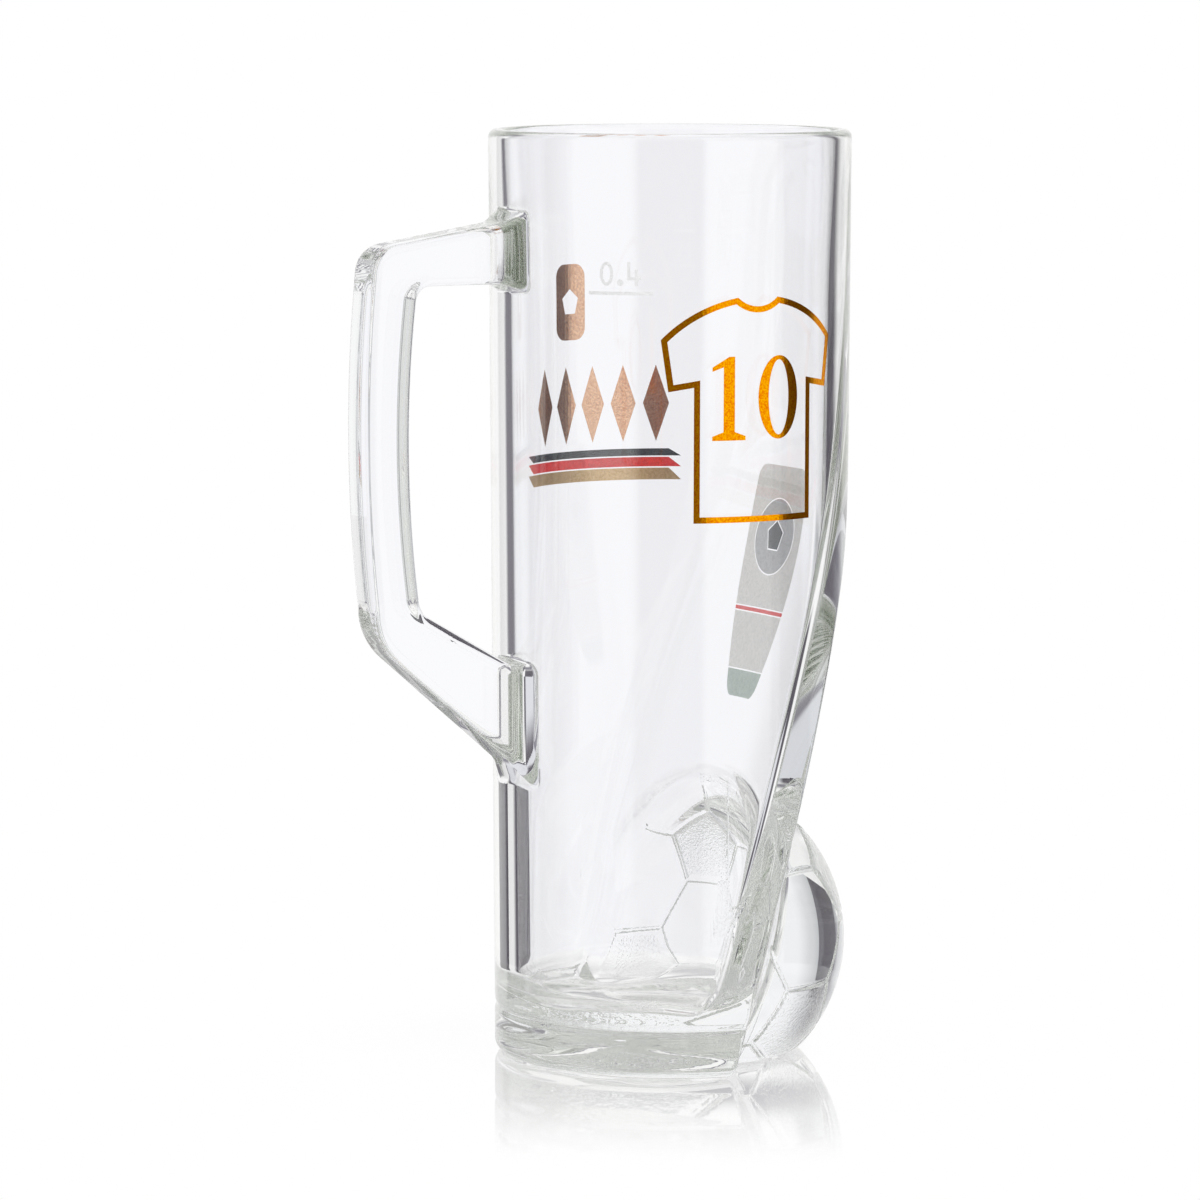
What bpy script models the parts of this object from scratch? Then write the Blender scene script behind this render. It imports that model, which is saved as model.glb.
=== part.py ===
"""Beer mug of clear pressed glass: a tapered beaker with a slanted front, a football foot and a bar handle.

The frame stands on the ground with +Z up. The beaker's axis is Z, the ball looks along +X and the handle
along -X. Prints are fired on the two sides, at -Y and +Y, and on the slanted front.
"""
import math

import bmesh
import bpy
from mathutils import Matrix, Vector
from mathutils.geometry import interpolate_bezier

# Beaker, in metres
MUG_HEIGHT = 0.200
RIM_RADIUS = 0.0390
BASE_RADIUS = 0.0379
RIM_WALL = 0.0034
LOW_WALL = 0.0052
RIM_ROUND = 0.0013
LIP_TURN = math.radians(65.0)
SLAB_HEIGHT = 0.0105
SLAB_EDGE_ROUND = 0.0026
FLOOR_THICKNESS = 0.0020
FLOOR_ROUND = 0.0065

# Slanted front, a cut that leans away from the ball, bends upright towards the rim and swells across
FRONT_FOOT = -0.0001
FRONT_LEAN = math.radians(16.4)
FRONT_BEND = 0.103
FRONT_SWELL_RADIUS = 0.150
FRONT_TOP_LEAN = math.radians(2.5)
FRONT_TOP_DROP = 0.014
FRONT_TOP_BITE = 0.0020
FRONT_RUNOUT = 0.010
FRONT_WALL = 0.0064
PLUNGER_DRAFT = math.radians(0.7)

# Ball, a football cut flat at the ground and at the slanted front
BALL_RADIUS = 0.0348
BALL_FORWARD = 0.0039
BALL_CENTRE_HEIGHT = 0.0245
BALL_TURN = math.radians(41.0)
BALL_ROLL = math.radians(2.5)
SEAM_WIDTH = 0.0013
SEAM_DEPTH = 0.0005

# Handle, a bar with two arms that flare where they meet the wall
HANDLE_TOP_DROP = 0.0240
HANDLE_LENGTH = 0.0824
HANDLE_REACH = 0.0345
HANDLE_BOW = 0.0019
HANDLE_WIDTH = 0.0115
HANDLE_EDGE_ROUND = 0.0022
GRIP_DEPTH = 0.0102
TOP_ARM_DEPTH = 0.0080
TOP_ARM_RISE = math.radians(9.0)
LOW_ARM_SLOPE = math.radians(40.7)
LOW_ARM_UPPER_SLOPE = math.radians(30.0)
LOW_CORNER_LIFT = 0.0060
HANDLE_CORNER_ROUND = 0.0065
HANDLE_LOW_CORNER_ROUND = 0.0140
FINGER_CORNER_ROUND = 0.0036
FINGER_LOW_CORNER_ROUND = 0.0048
SEAT_FLARE = 0.0022
SEAT_FLARE_LENGTH = 0.0055

# Prints
SEAT_GAP = 0.0003
PRINT_THICKNESS = 0.0003
NEAR_SIDE = math.radians(-90.6)
FAR_SIDE = math.radians(90.0)

SHIRT_DROP = 0.0341
SHIRT_HEIGHT = 0.0472
SHIRT_HALF_WIDTH = 0.0142
SHIRT_LINE = 0.0013
SLEEVE_REACH = 0.0070
SLEEVE_LENGTH = 0.0109
CUFF_LEAN = 0.0016
CUFF_RISE = 0.0009
SHOULDER_DROP = 0.0087
SHOULDER_BULGE = 0.0015
COLLAR_HALF_WIDTH = 0.0047
COLLAR_DEPTH = 0.0019

DIGIT_HEIGHT = 0.0176
DIGIT_STROKE = 0.0025
DIGIT_THIN_STROKE = 0.0009
ZERO_WIDTH = 0.0102
ONE_SERIF_WIDTH = 0.0074
ONE_FLAG_DROP = 0.0022
DIGIT_SPACING = 0.0030
DIGITS_BELOW_COLLAR = 0.0123

RIBBON_DROP = 0.0720
RIBBON_LENGTH = 0.0450
RIBBON_SLANT = 0.0030
DARK_BAND_HEIGHT = 0.0016
RED_BAND_HEIGHT = 0.0021
GOLD_BAND_HEIGHT = 0.0026
LOZENGE_COUNT = 5
LOZENGE_HEIGHT = 0.0170
LOZENGE_WIDTH = 0.0064
LOZENGE_PITCH = 0.0082
LOZENGE_LIFT = 0.0016

BADGE_TURN = math.radians(10.0)
BADGE_DROP = 0.0320
BADGE_WIDTH = 0.0093
BADGE_HEIGHT = 0.0155
BADGE_ROUND = 0.0028
BADGE_HOLE_RADIUS = 0.0027

FILL_TURN = math.radians(-44.0)
FILL_LINE_DROP = 0.0335
FILL_LINE_WIDTH = 0.0140
FILL_STROKE = 0.0007
FILL_DIGIT_HEIGHT = 0.0050
FILL_DIGIT_WIDTH = 0.0030
FILL_DIGIT_SPACING = 0.0008
FILL_DIGIT_LIFT = 0.0012
FOUR_BAR_LIFT = 0.0012
FOUR_STEM_HEIGHT = 0.0035

LABEL_WIDTH = 0.0232
LABEL_SIDE_RADIUS = 0.102
LABEL_FOOT_HEIGHT = 0.0750
LABEL_BAND_HEIGHT = 0.0056
LABEL_LOWER_HEIGHT = 0.0120
LABEL_LINE_HEIGHT = 0.0008
LABEL_UPPER_HEIGHT = 0.0310
LABEL_ROUND = 0.0030
LABEL_DISC_RADIUS = 0.0082
LABEL_PENTAGON_RADIUS = 0.0034

# Fineness of the curves
WALL_SIDES = 72
FRONT_STEPS = 12
FRONT_SIDES = 12
ARC_STEPS = 4
GRIP_STEPS = 6
EDGE_STEPS = 2
RING_STEPS = 28
POINT_STEPS = 8
PANEL_STEPS = 2
STRIP = 0.0042
MERGE = 0.000002
MARGIN = 0.010
SMOOTH_ANGLE = math.radians(32.0)


def wall_radius(z):
    """Outer radius of the beaker and its base at a height."""
    return BASE_RADIUS + (RIM_RADIUS - BASE_RADIUS) * z / MUG_HEIGHT


def floor_height():
    """Height of the floor that the drink stands on."""
    return SLAB_HEIGHT + SEAT_GAP + FLOOR_THICKNESS


def inner_radius(z):
    """Radius of the drinking space, whose wall thins towards the rim."""
    share = (z - floor_height()) / (MUG_HEIGHT - floor_height())
    return wall_radius(z) - (LOW_WALL + (RIM_WALL - LOW_WALL) * share)


def finish(name, colour, roughness, metallic=0.0, transmission=0.0):
    """Material with one Principled shader."""
    made = bpy.data.materials.new(name)
    made.use_nodes = True
    shader = made.node_tree.nodes["Principled BSDF"]
    shader.inputs["Base Color"].default_value = (*colour, 1.0)
    shader.inputs["Roughness"].default_value = roughness
    shader.inputs["Metallic"].default_value = metallic
    shader.inputs["Transmission Weight"].default_value = transmission
    return made


def add_object(name, bm, material=None):
    """Object from a closed mesh, with its faces turned out."""
    bmesh.ops.remove_doubles(bm, verts=bm.verts, dist=MERGE)
    bmesh.ops.recalc_face_normals(bm, faces=bm.faces)
    mesh = bpy.data.meshes.new(name)
    bm.to_mesh(mesh)
    bm.free()
    mesh.shade_smooth()
    mesh.set_sharp_from_angle(angle=SMOOTH_ANGLE)
    made = bpy.data.objects.new(name, mesh)
    bpy.context.collection.objects.link(made)
    if material:
        mesh.materials.append(material)
    else:
        made.hide_render = True
        made.display_type = "WIRE"
    return made


def cut(target, cutter, operation="DIFFERENCE"):
    """Boolean modifier that takes a cutter away from a piece, or keeps what they share."""
    step = target.modifiers.new(cutter.name, "BOOLEAN")
    step.object = cutter
    step.operation = operation
    step.solver = "EXACT"


def arc(centre, radius, start, end, steps=ARC_STEPS):
    """Points along an arc, given by angles from the first axis towards the second."""
    angles = [start + (end - start) * i / steps for i in range(steps + 1)]
    return [(centre[0] + radius * math.cos(a), centre[1] + radius * math.sin(a)) for a in angles]


def turned(name, profile, material=None):
    """Solid of revolution about Z from a profile of (radius, height) that starts and ends on the axis."""
    bm = bmesh.new()
    points = [bm.verts.new((r, 0.0, z)) for r, z in profile]
    edges = [bm.edges.new(pair) for pair in zip(points, points[1:])]
    path = points + edges
    bmesh.ops.spin(bm, geom=path, cent=(0, 0, 0), axis=(0, 0, 1), angle=math.tau, steps=WALL_SIDES)
    return add_object(name, bm, material)


def front_curve(foot, lean, radius_at, bottom):
    """Middle of a slanted front from the side, as (x, z) points from a height up to where it leaves a wall."""
    slope = math.tan(lean)
    top_z = MUG_HEIGHT - FRONT_TOP_DROP
    bend = Vector((foot + slope * FRONT_BEND, FRONT_BEND))
    top = Vector((radius_at(top_z) - FRONT_TOP_BITE, top_z))
    pull = (top - bend).length / 3
    low_pull = bend + pull * Vector((math.sin(lean), math.cos(lean)))
    top_pull = top - pull * Vector((math.sin(FRONT_TOP_LEAN), math.cos(FRONT_TOP_LEAN)))
    curve = interpolate_bezier(bend, low_pull, top_pull, top, FRONT_STEPS)
    runout = (radius_at(top_z) + SEAT_GAP, top_z + FRONT_RUNOUT)
    start = (foot + slope * bottom, bottom)
    return [start] + [tuple(p) for p in curve] + [runout]


def front_swell(y):
    """How far the slanted front falls back at a distance from its middle."""
    return y * y / (2 * FRONT_SWELL_RADIUS)


def front_point(height, lift):
    """Point in the middle of the slanted front at a height, lifted off the glass along its normal, as (x, z)."""
    curve = front_curve(FRONT_FOOT, FRONT_LEAN, wall_radius, 0.0)
    for (x0, z0), (x1, z1) in zip(curve, curve[1:]):
        if height <= z1:
            break
    run = Vector((x1 - x0, z1 - z0)).normalized()
    share = (height - z0) / (z1 - z0)
    return x0 + share * (x1 - x0) + lift * run.y, height - lift * run.x


def front_block(name, foot, lean, radius_at, bottom):
    """Block of the space in front of a slanted front, wider than the mug."""
    curve = front_curve(foot, lean, radius_at, bottom)
    reach = RIM_RADIUS + BASE_RADIUS + MARGIN
    half = RIM_RADIUS + MARGIN
    bm = bmesh.new()
    rings = []
    for i in range(FRONT_SIDES + 1):
        y = half * (2 * i / FRONT_SIDES - 1)
        side = [(x - front_swell(y), z) for x, z in curve] + [(reach, curve[-1][1]), (reach, bottom)]
        rings.append([bm.verts.new((x, y, z)) for x, z in side])
    for ring, following in zip(rings, rings[1:]):
        for i in range(len(ring)):
            bm.faces.new((ring[i - 1], ring[i], following[i], following[i - 1]))
    bm.faces.new(rings[0])
    bm.faces.new(rings[-1])
    return add_object(name, bm)


def make_beaker(glass):
    """Beaker with its floor: a turned blank, cut by the slanted front and hollowed behind it."""
    bottom = SLAB_HEIGHT + SEAT_GAP
    shoulder = MUG_HEIGHT - RIM_ROUND
    outer = [(0.0, bottom), (wall_radius(bottom), bottom)]
    outer += arc((wall_radius(shoulder) - RIM_ROUND, shoulder), RIM_ROUND, 0.0, math.pi / 2)
    outer += [(0.0, MUG_HEIGHT)]
    beaker = turned("beaker", outer, glass)

    floor = floor_height()
    bowl = floor + FLOOR_ROUND
    hollow = [(0.0, floor)]
    hollow += arc((inner_radius(bowl) - FLOOR_ROUND, bowl), FLOOR_ROUND, -math.pi / 2, 0.0)
    lip = arc((inner_radius(shoulder) + RIM_ROUND, shoulder), RIM_ROUND, math.pi, math.pi - LIP_TURN)
    lean = Vector(lip[-1]) - Vector(lip[-2])
    above = Vector(lip[-1]) + lean * (MARGIN / lean.y)
    hollow += lip + [tuple(above), (0.0, above.y)]
    space = turned("drinking_space", hollow)
    back_of_front = FRONT_FOOT - FRONT_WALL / math.cos(FRONT_LEAN)
    plunger_lean = FRONT_LEAN - PLUNGER_DRAFT
    cut(space, front_block("behind_front", back_of_front, plunger_lean, inner_radius, -MARGIN))

    cut(beaker, front_block("before_front", FRONT_FOOT, FRONT_LEAN, wall_radius, -MARGIN))
    cut(beaker, space)


def make_base_slab(glass):
    """Thick base under the floor, rounded at its lower edge."""
    edge = SLAB_EDGE_ROUND
    profile = [(0.0, 0.0)]
    profile += arc((wall_radius(edge) - edge, edge), edge, -math.pi / 2, 0.0)
    profile += [(wall_radius(SLAB_HEIGHT), SLAB_HEIGHT), (0.0, SLAB_HEIGHT)]
    slab = turned("base_slab", profile, glass)
    cut(slab, bpy.data.objects["before_front"])


def make_ball_foot(glass):
    """Football with sunken seams, upright on a pentagon, of which the front half stands clear."""
    bm = bmesh.new()
    bmesh.ops.create_icosphere(bm, subdivisions=1, radius=BALL_RADIUS)
    bm.edges.ensure_lookup_table()
    corner_cut = bm.edges[0].calc_length() / 3
    bmesh.ops.bevel(bm, geom=bm.verts[:], offset=corner_cut, offset_type="OFFSET", affect="VERTICES",
                    segments=1, profile=0.5)
    sewn = set(bm.verts)
    bmesh.ops.inset_individual(bm, faces=bm.faces[:], thickness=SEAM_WIDTH / 2, use_even_offset=True)
    panels = [face for face in bm.faces if sewn.isdisjoint(face.verts)]
    for edge in bm.edges:
        edge.seam = sewn.issuperset(edge.verts)
    bmesh.ops.poke(bm, faces=panels)
    bmesh.ops.subdivide_edges(bm, edges=bm.edges[:], cuts=PANEL_STEPS, use_grid_fill=True)
    sunk = {vert for edge in bm.edges if edge.seam for vert in edge.verts}
    for vert in bm.verts:
        depth = SEAM_DEPTH if vert in sunk else 0.0
        vert.co = vert.co.normalized() * (BALL_RADIUS - depth)
    place = Matrix.Translation((BALL_FORWARD, 0.0, BALL_CENTRE_HEIGHT))
    turn = Matrix.Rotation(BALL_ROLL, 4, "X") @ Matrix.Rotation(BALL_TURN, 4, "Z")
    bmesh.ops.transform(bm, matrix=place @ turn, verts=bm.verts)
    ball = add_object("ball_foot", bm, glass)
    foot = FRONT_FOOT + SEAT_GAP / math.cos(FRONT_LEAN)
    cut(ball, front_block("ball_side", foot, FRONT_LEAN, wall_radius, 0.0), "INTERSECT")


def corner(before, point, after, radius):
    """Points of an arc that rounds a corner between two neighbours."""
    point = Vector(point)
    back = (Vector(before) - point).normalized()
    ahead = (Vector(after) - point).normalized()
    half = back.angle(ahead) / 2
    centre = point + (back + ahead).normalized() * (radius / math.sin(half))
    reach = radius / math.tan(half)
    start = point + back * reach - centre
    turn = start.angle_signed(point + ahead * reach - centre)
    return [tuple(centre + Matrix.Rotation(-turn * i / ARC_STEPS, 2) @ start) for i in range(ARC_STEPS + 1)]


def bowed(start, end, bow):
    """Points between two ends of the grip, bowed away from the wall."""
    points = []
    for i in range(1, GRIP_STEPS):
        share = i / GRIP_STEPS
        x, z = Vector(start).lerp(Vector(end), share)
        points.append((x - bow * 4 * share * (1 - share), z))
    return points


def flare(distance):
    """How much an arm has widened at a distance from the wall, along a quarter circle."""
    share = min(max(1 - distance / SEAT_FLARE_LENGTH, 0.0), 1.0)
    return SEAT_FLARE * (1 - math.sqrt(1 - share * share))


def handle_stations():
    """Outer and inner points along the handle, from its top seat to its lower seat, with their flare."""
    top_z = MUG_HEIGHT - HANDLE_TOP_DROP
    low_z = top_z - HANDLE_LENGTH
    top = (-wall_radius(top_z) - HANDLE_REACH, top_z)
    low = (-wall_radius(low_z) - HANDLE_REACH, low_z)
    finger_top = (top[0] + GRIP_DEPTH, top_z - TOP_ARM_DEPTH)
    finger_low = (low[0] + GRIP_DEPTH, low_z + LOW_CORNER_LIFT)

    def arms(x):
        upper = top[1] + (x - top[0]) * math.tan(TOP_ARM_RISE)
        lower = low[1] - (x - low[0]) * math.tan(LOW_ARM_SLOPE)
        under = finger_low[1] - (x - finger_low[0]) * math.tan(LOW_ARM_UPPER_SLOPE)
        return (x, upper), (x, finger_top[1]), (x, lower), (x, under)

    steps = [-MARGIN / 2] + [SEAT_FLARE_LENGTH * i / ARC_STEPS for i in range(ARC_STEPS + 1)]
    upper_arm, lower_arm = [], []
    for distance in steps:
        widening = flare(distance)
        outer, inner, _, _ = arms(-wall_radius(top_z) - distance)
        upper_arm.append(((outer[0], outer[1] + widening), (inner[0], inner[1] - widening), widening))
        _, _, outer, inner = arms(-wall_radius(low_z) - distance)
        lower_arm.append(((outer[0], outer[1] - widening), (inner[0], inner[1] + widening), widening))

    seat_upper, seat_finger, seat_lower, seat_under = arms(-BASE_RADIUS)
    outline = corner(seat_upper, top, low, HANDLE_CORNER_ROUND)
    low_outline = corner(top, low, seat_lower, HANDLE_LOW_CORNER_ROUND)
    finger = corner(seat_finger, finger_top, finger_low, FINGER_CORNER_ROUND)
    low_finger = corner(finger_top, finger_low, seat_under, FINGER_LOW_CORNER_ROUND)
    outline += bowed(outline[-1], low_outline[0], HANDLE_BOW) + low_outline
    finger += bowed(finger[-1], low_finger[0], HANDLE_BOW) + low_finger
    grip = [(outer, inner, 0.0) for outer, inner in zip(outline, finger)]
    return upper_arm + grip + lower_arm[::-1]


def make_handle(glass):
    """Handle bar, lofted through rounded sections and cut to the wall."""
    bm = bmesh.new()
    rings = []
    for outer, inner, widening in handle_stations():
        outer = Vector((outer[0], 0.0, outer[1]))
        inner = Vector((inner[0], 0.0, inner[1]))
        deep = (outer - inner).normalized()
        half_depth = (outer - inner).length / 2
        half_width = HANDLE_WIDTH / 2 + widening
        ring = []
        for quarter in range(4):
            turn = quarter * math.pi / 2
            signs = (math.cos(turn + math.pi / 4), math.sin(turn + math.pi / 4))
            centre = (math.copysign(half_depth - HANDLE_EDGE_ROUND, signs[0]),
                      math.copysign(half_width - HANDLE_EDGE_ROUND, signs[1]))
            for along, across in arc(centre, HANDLE_EDGE_ROUND, turn, turn + math.pi / 2, EDGE_STEPS):
                ring.append(bm.verts.new((outer + inner) / 2 + deep * along + Vector((0.0, across, 0.0))))
        rings.append(ring)
    for ring, following in zip(rings, rings[1:]):
        for i in range(len(ring)):
            bm.faces.new((ring[i - 1], ring[i], following[i], following[i - 1]))
    bm.faces.new(rings[0])
    bm.faces.new(rings[-1])
    handle = add_object("handle", bm, glass)
    ends = (-MARGIN, MUG_HEIGHT + MARGIN)
    clear = [(wall_radius(z) + SEAT_GAP, z) for z in ends]
    cut(handle, turned("wall_clearance", [(0.0, ends[0])] + clear + [(0.0, ends[1])]))


def on_wall(side):
    """Place on the beaker's wall: to the right and up as seen from outside, lifted off the glass."""
    def place(right, height, lift):
        radius = wall_radius(height)
        turn = side + right / radius
        return Vector(((radius + lift) * math.cos(turn), (radius + lift) * math.sin(turn), height))
    return place


def label_middle():
    """Height of the label's disc, where the label is widest."""
    below = LABEL_BAND_HEIGHT + LABEL_LOWER_HEIGHT + LABEL_LINE_HEIGHT + 3 * SEAT_GAP
    return LABEL_FOOT_HEIGHT + below + LABEL_UPPER_HEIGHT / 2


def on_front(right, height, lift):
    """Place on the slanted front, to the right and up as seen from before it, with the label's bowed sides."""
    narrowing = (height - label_middle()) ** 2 / (2 * LABEL_SIDE_RADIUS)
    across = right * (1 - narrowing / (LABEL_WIDTH / 2))
    x, z = front_point(height, lift)
    return Vector((x - front_swell(across), across, z))


def flat_shape(*loops):
    """Flat face inside an outer loop of (right, up) points and round any holes."""
    bm = bmesh.new()
    edges = []
    for loop in loops:
        points = [bm.verts.new((right, up, 0.0)) for right, up in loop]
        edges += [bm.edges.new((a, b)) for a, b in zip(points, points[1:] + points[:1])]
    bmesh.ops.triangle_fill(bm, edges=edges, use_beauty=True)
    return bm


def cut_strips(bm, axis):
    """Cuts a flat shape in strips across one of its axes."""
    normal = Vector((0.0, 0.0, 0.0))
    normal[axis] = 1.0
    ends = [vert.co[axis] for vert in bm.verts]
    for i in range(math.floor(min(ends) / STRIP), math.ceil(max(ends) / STRIP)):
        everything = bm.verts[:] + bm.edges[:] + bm.faces[:]
        level = normal * (i + 0.5) * STRIP
        bmesh.ops.bisect_plane(bm, geom=everything, dist=MERGE, plane_co=level, plane_no=normal)


def lay_print(name, bm, place, material, up_cuts=False):
    """Cuts a flat shape in strips, gives it its thickness and lays it on a curved face of the glass."""
    cut_strips(bm, 0)
    if up_cuts:
        cut_strips(bm, 1)
    lower = bm.faces[:]
    made = bmesh.ops.extrude_face_region(bm, geom=lower)["geom"]
    raised = {item for item in made if isinstance(item, bmesh.types.BMVert)}
    for vert in bm.verts:
        lift = SEAT_GAP + (PRINT_THICKNESS if vert in raised else 0.0)
        vert.co = place(vert.co.x, vert.co.y, lift)
    add_object(name, bm, material)


def ring_points(centre, half_width, half_height, steps=RING_STEPS):
    """Points round an ellipse, or a polygon when the steps are few, from its top."""
    turns = [math.tau * i / steps + math.pi / 2 for i in range(steps)]
    return [(centre[0] + half_width * math.cos(t), centre[1] + half_height * math.sin(t)) for t in turns]


def rounded_box(width, low, high, low_round, high_round):
    """Outline of a centred rectangle with rounded lower and upper corners, square where a round is nil."""
    points = []
    for i, (side, level, radius) in enumerate(((1, low, low_round), (1, high, high_round),
                                                (-1, high, high_round), (-1, low, low_round))):
        start = (i - 1) * math.pi / 2
        inward = 1 if level == low else -1
        centre = (side * (width / 2 - radius), level + inward * radius)
        points += arc(centre, radius, start, start + math.pi / 2) if radius else [centre]
    return points


def bulged(start, end, rise):
    """Points of an arc from one end to another that swells to the right of its way by a rise, or sinks."""
    start, end = Vector(start), Vector(end)
    half = (end - start) / 2
    right = Vector((half.y, -half.x)).normalized()
    radius = (half.length_squared + rise * rise) / (2 * rise)
    centre = start + half + right * (rise - radius)
    sweep = 2 * math.asin(half.length / radius)
    first = start - centre
    steps = 2 * ARC_STEPS
    return [tuple(centre + Matrix.Rotation(sweep * (i / steps), 2) @ first) for i in range(steps + 1)]


def make_shirt(lustre):
    """Outline of a football shirt with a number, in orange lustre on the near side."""
    place = on_wall(NEAR_SIDE)
    top = MUG_HEIGHT - SHIRT_DROP
    hem = top - SHIRT_HEIGHT
    cuff_top = top - SHOULDER_DROP
    cuff_low = cuff_top - SLEEVE_LENGTH
    cuff = SHIRT_HALF_WIDTH + SLEEVE_REACH
    neck = (COLLAR_HALF_WIDTH, top)
    half = [(SHIRT_HALF_WIDTH, hem), (SHIRT_HALF_WIDTH, cuff_low + CUFF_RISE), (cuff - CUFF_LEAN, cuff_low)]
    half += bulged((cuff, cuff_top), neck, SHOULDER_BULGE)
    collar = bulged(neck, (-neck[0], neck[1]), -COLLAR_DEPTH)
    outline = half + collar[1:-1] + [(-right, up) for right, up in half[::-1]]
    bm = bmesh.new()
    cloth = bm.faces.new([bm.verts.new((right, up, 0.0)) for right, up in outline])
    cloth.normal_update()
    bmesh.ops.inset_region(bm, faces=[cloth], thickness=SHIRT_LINE, use_boundary=True, use_even_offset=True)
    bmesh.ops.delete(bm, geom=[cloth], context="FACES_ONLY")
    lay_print("shirt_outline", bm, place, lustre)

    number_top = top - DIGITS_BELOW_COLLAR
    number_low = number_top - DIGIT_HEIGHT
    span = ONE_SERIF_WIDTH + DIGIT_SPACING + ZERO_WIDTH
    one = -span / 2 + ONE_SERIF_WIDTH / 2
    zero = span / 2 - ZERO_WIDTH / 2
    lay_print("shirt_digit_one", flat_shape(digit_one(one, number_low, number_top)), place, lustre)
    middle = (zero, (number_low + number_top) / 2)
    bowl = ring_points(middle, ZERO_WIDTH / 2, DIGIT_HEIGHT / 2)
    counter = ring_points(middle, ZERO_WIDTH / 2 - DIGIT_STROKE, DIGIT_HEIGHT / 2 - DIGIT_THIN_STROKE)
    lay_print("shirt_digit_zero", flat_shape(bowl, counter), place, lustre)


def digit_one(centre, low, high):
    """Outline of a figure one with a flag and a foot serif."""
    stem = DIGIT_STROKE / 2
    serif = ONE_SERIF_WIDTH / 2
    thin = DIGIT_THIN_STROKE
    flag = high - ONE_FLAG_DROP
    points = [(-serif, low), (serif, low), (serif, low + thin), (stem, low + 2 * thin), (stem, high),
              (0.0, high), (-serif, flag), (-serif, flag - thin), (-stem, flag),
              (-stem, low + 2 * thin), (-serif, low + thin)]
    return [(centre + right, up) for right, up in points]


def make_far_side(finishes):
    """Ornament of the far side: a ribbon of three bands, a row of lozenges and a rounded badge."""
    place = on_wall(FAR_SIDE)
    ribbon_top = MUG_HEIGHT - RIBBON_DROP
    level = ribbon_top
    bands = (("dark", DARK_BAND_HEIGHT), ("red", RED_BAND_HEIGHT), ("gold", GOLD_BAND_HEIGHT))
    for name, height in bands:
        half = RIBBON_LENGTH / 2
        low = level - height
        points = [(-half, low), (half, low), (half + RIBBON_SLANT, level), (-half + RIBBON_SLANT, level)]
        lay_print(f"ribbon_{name}_band", flat_shape(points), place, finishes[name])
        level = low - SEAT_GAP
    middle = ribbon_top + LOZENGE_LIFT + LOZENGE_HEIGHT / 2
    for i in range(LOZENGE_COUNT):
        centre = ((i - (LOZENGE_COUNT - 1) / 2) * LOZENGE_PITCH, middle)
        points = ring_points(centre, LOZENGE_WIDTH / 2, LOZENGE_HEIGHT / 2, 4)
        lay_print(f"lozenge_{i + 1}", flat_shape(points), place, finishes["copper"])
    badge_top = MUG_HEIGHT - BADGE_DROP
    badge_low = badge_top - BADGE_HEIGHT
    outline = rounded_box(BADGE_WIDTH, badge_low, badge_top, BADGE_ROUND, BADGE_ROUND)
    hole = ring_points((0.0, badge_top - BADGE_HEIGHT / 2), BADGE_HOLE_RADIUS, BADGE_HOLE_RADIUS, 5)
    lay_print("badge", flat_shape(outline, hole), on_wall(FAR_SIDE + BADGE_TURN), finishes["copper"])


def make_fill_mark(white):
    """Fill line with the capacity in litres above it."""
    place = on_wall(NEAR_SIDE + FILL_TURN)
    line_low = MUG_HEIGHT - FILL_LINE_DROP
    line_top = line_low + FILL_STROKE
    line = rounded_box(FILL_LINE_WIDTH, line_low, line_top, 0.0, 0.0)
    lay_print("fill_line", flat_shape(line), place, white)
    low = line_top + FILL_DIGIT_LIFT
    half = FILL_DIGIT_WIDTH / 2
    aside = FILL_DIGIT_SPACING + FILL_STROKE + half
    middle = (-aside, low + FILL_DIGIT_HEIGHT / 2)
    bowl = ring_points(middle, half, FILL_DIGIT_HEIGHT / 2)
    counter = ring_points(middle, half - FILL_STROKE, FILL_DIGIT_HEIGHT / 2 - FILL_STROKE)
    lay_print("fill_digit_zero", flat_shape(bowl, counter), place, white)
    point = ring_points((0.0, low + FILL_STROKE), FILL_STROKE, FILL_STROKE, POINT_STEPS)
    lay_print("fill_point", flat_shape(point), place, white)
    four = [(aside - half + right, low + up) for right, up in digit_four()]
    lay_print("fill_digit_four", flat_shape(four), place, white)


def digit_four():
    """Outline of a figure four with an open top."""
    stroke = FILL_STROKE
    bar = FOUR_BAR_LIFT
    stem = FILL_DIGIT_WIDTH - 2 * stroke
    stem_top = FOUR_STEM_HEIGHT
    return [(0.0, bar), (stem, bar), (stem, 0.0), (stem + stroke, 0.0), (stem + stroke, bar),
            (FILL_DIGIT_WIDTH, bar), (FILL_DIGIT_WIDTH, bar + stroke), (stem + stroke, bar + stroke),
            (stem + stroke, stem_top), (stem, stem_top), (stem, bar + stroke), (stroke, bar + stroke),
            (stroke, FILL_DIGIT_HEIGHT), (0.0, FILL_DIGIT_HEIGHT)]


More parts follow.
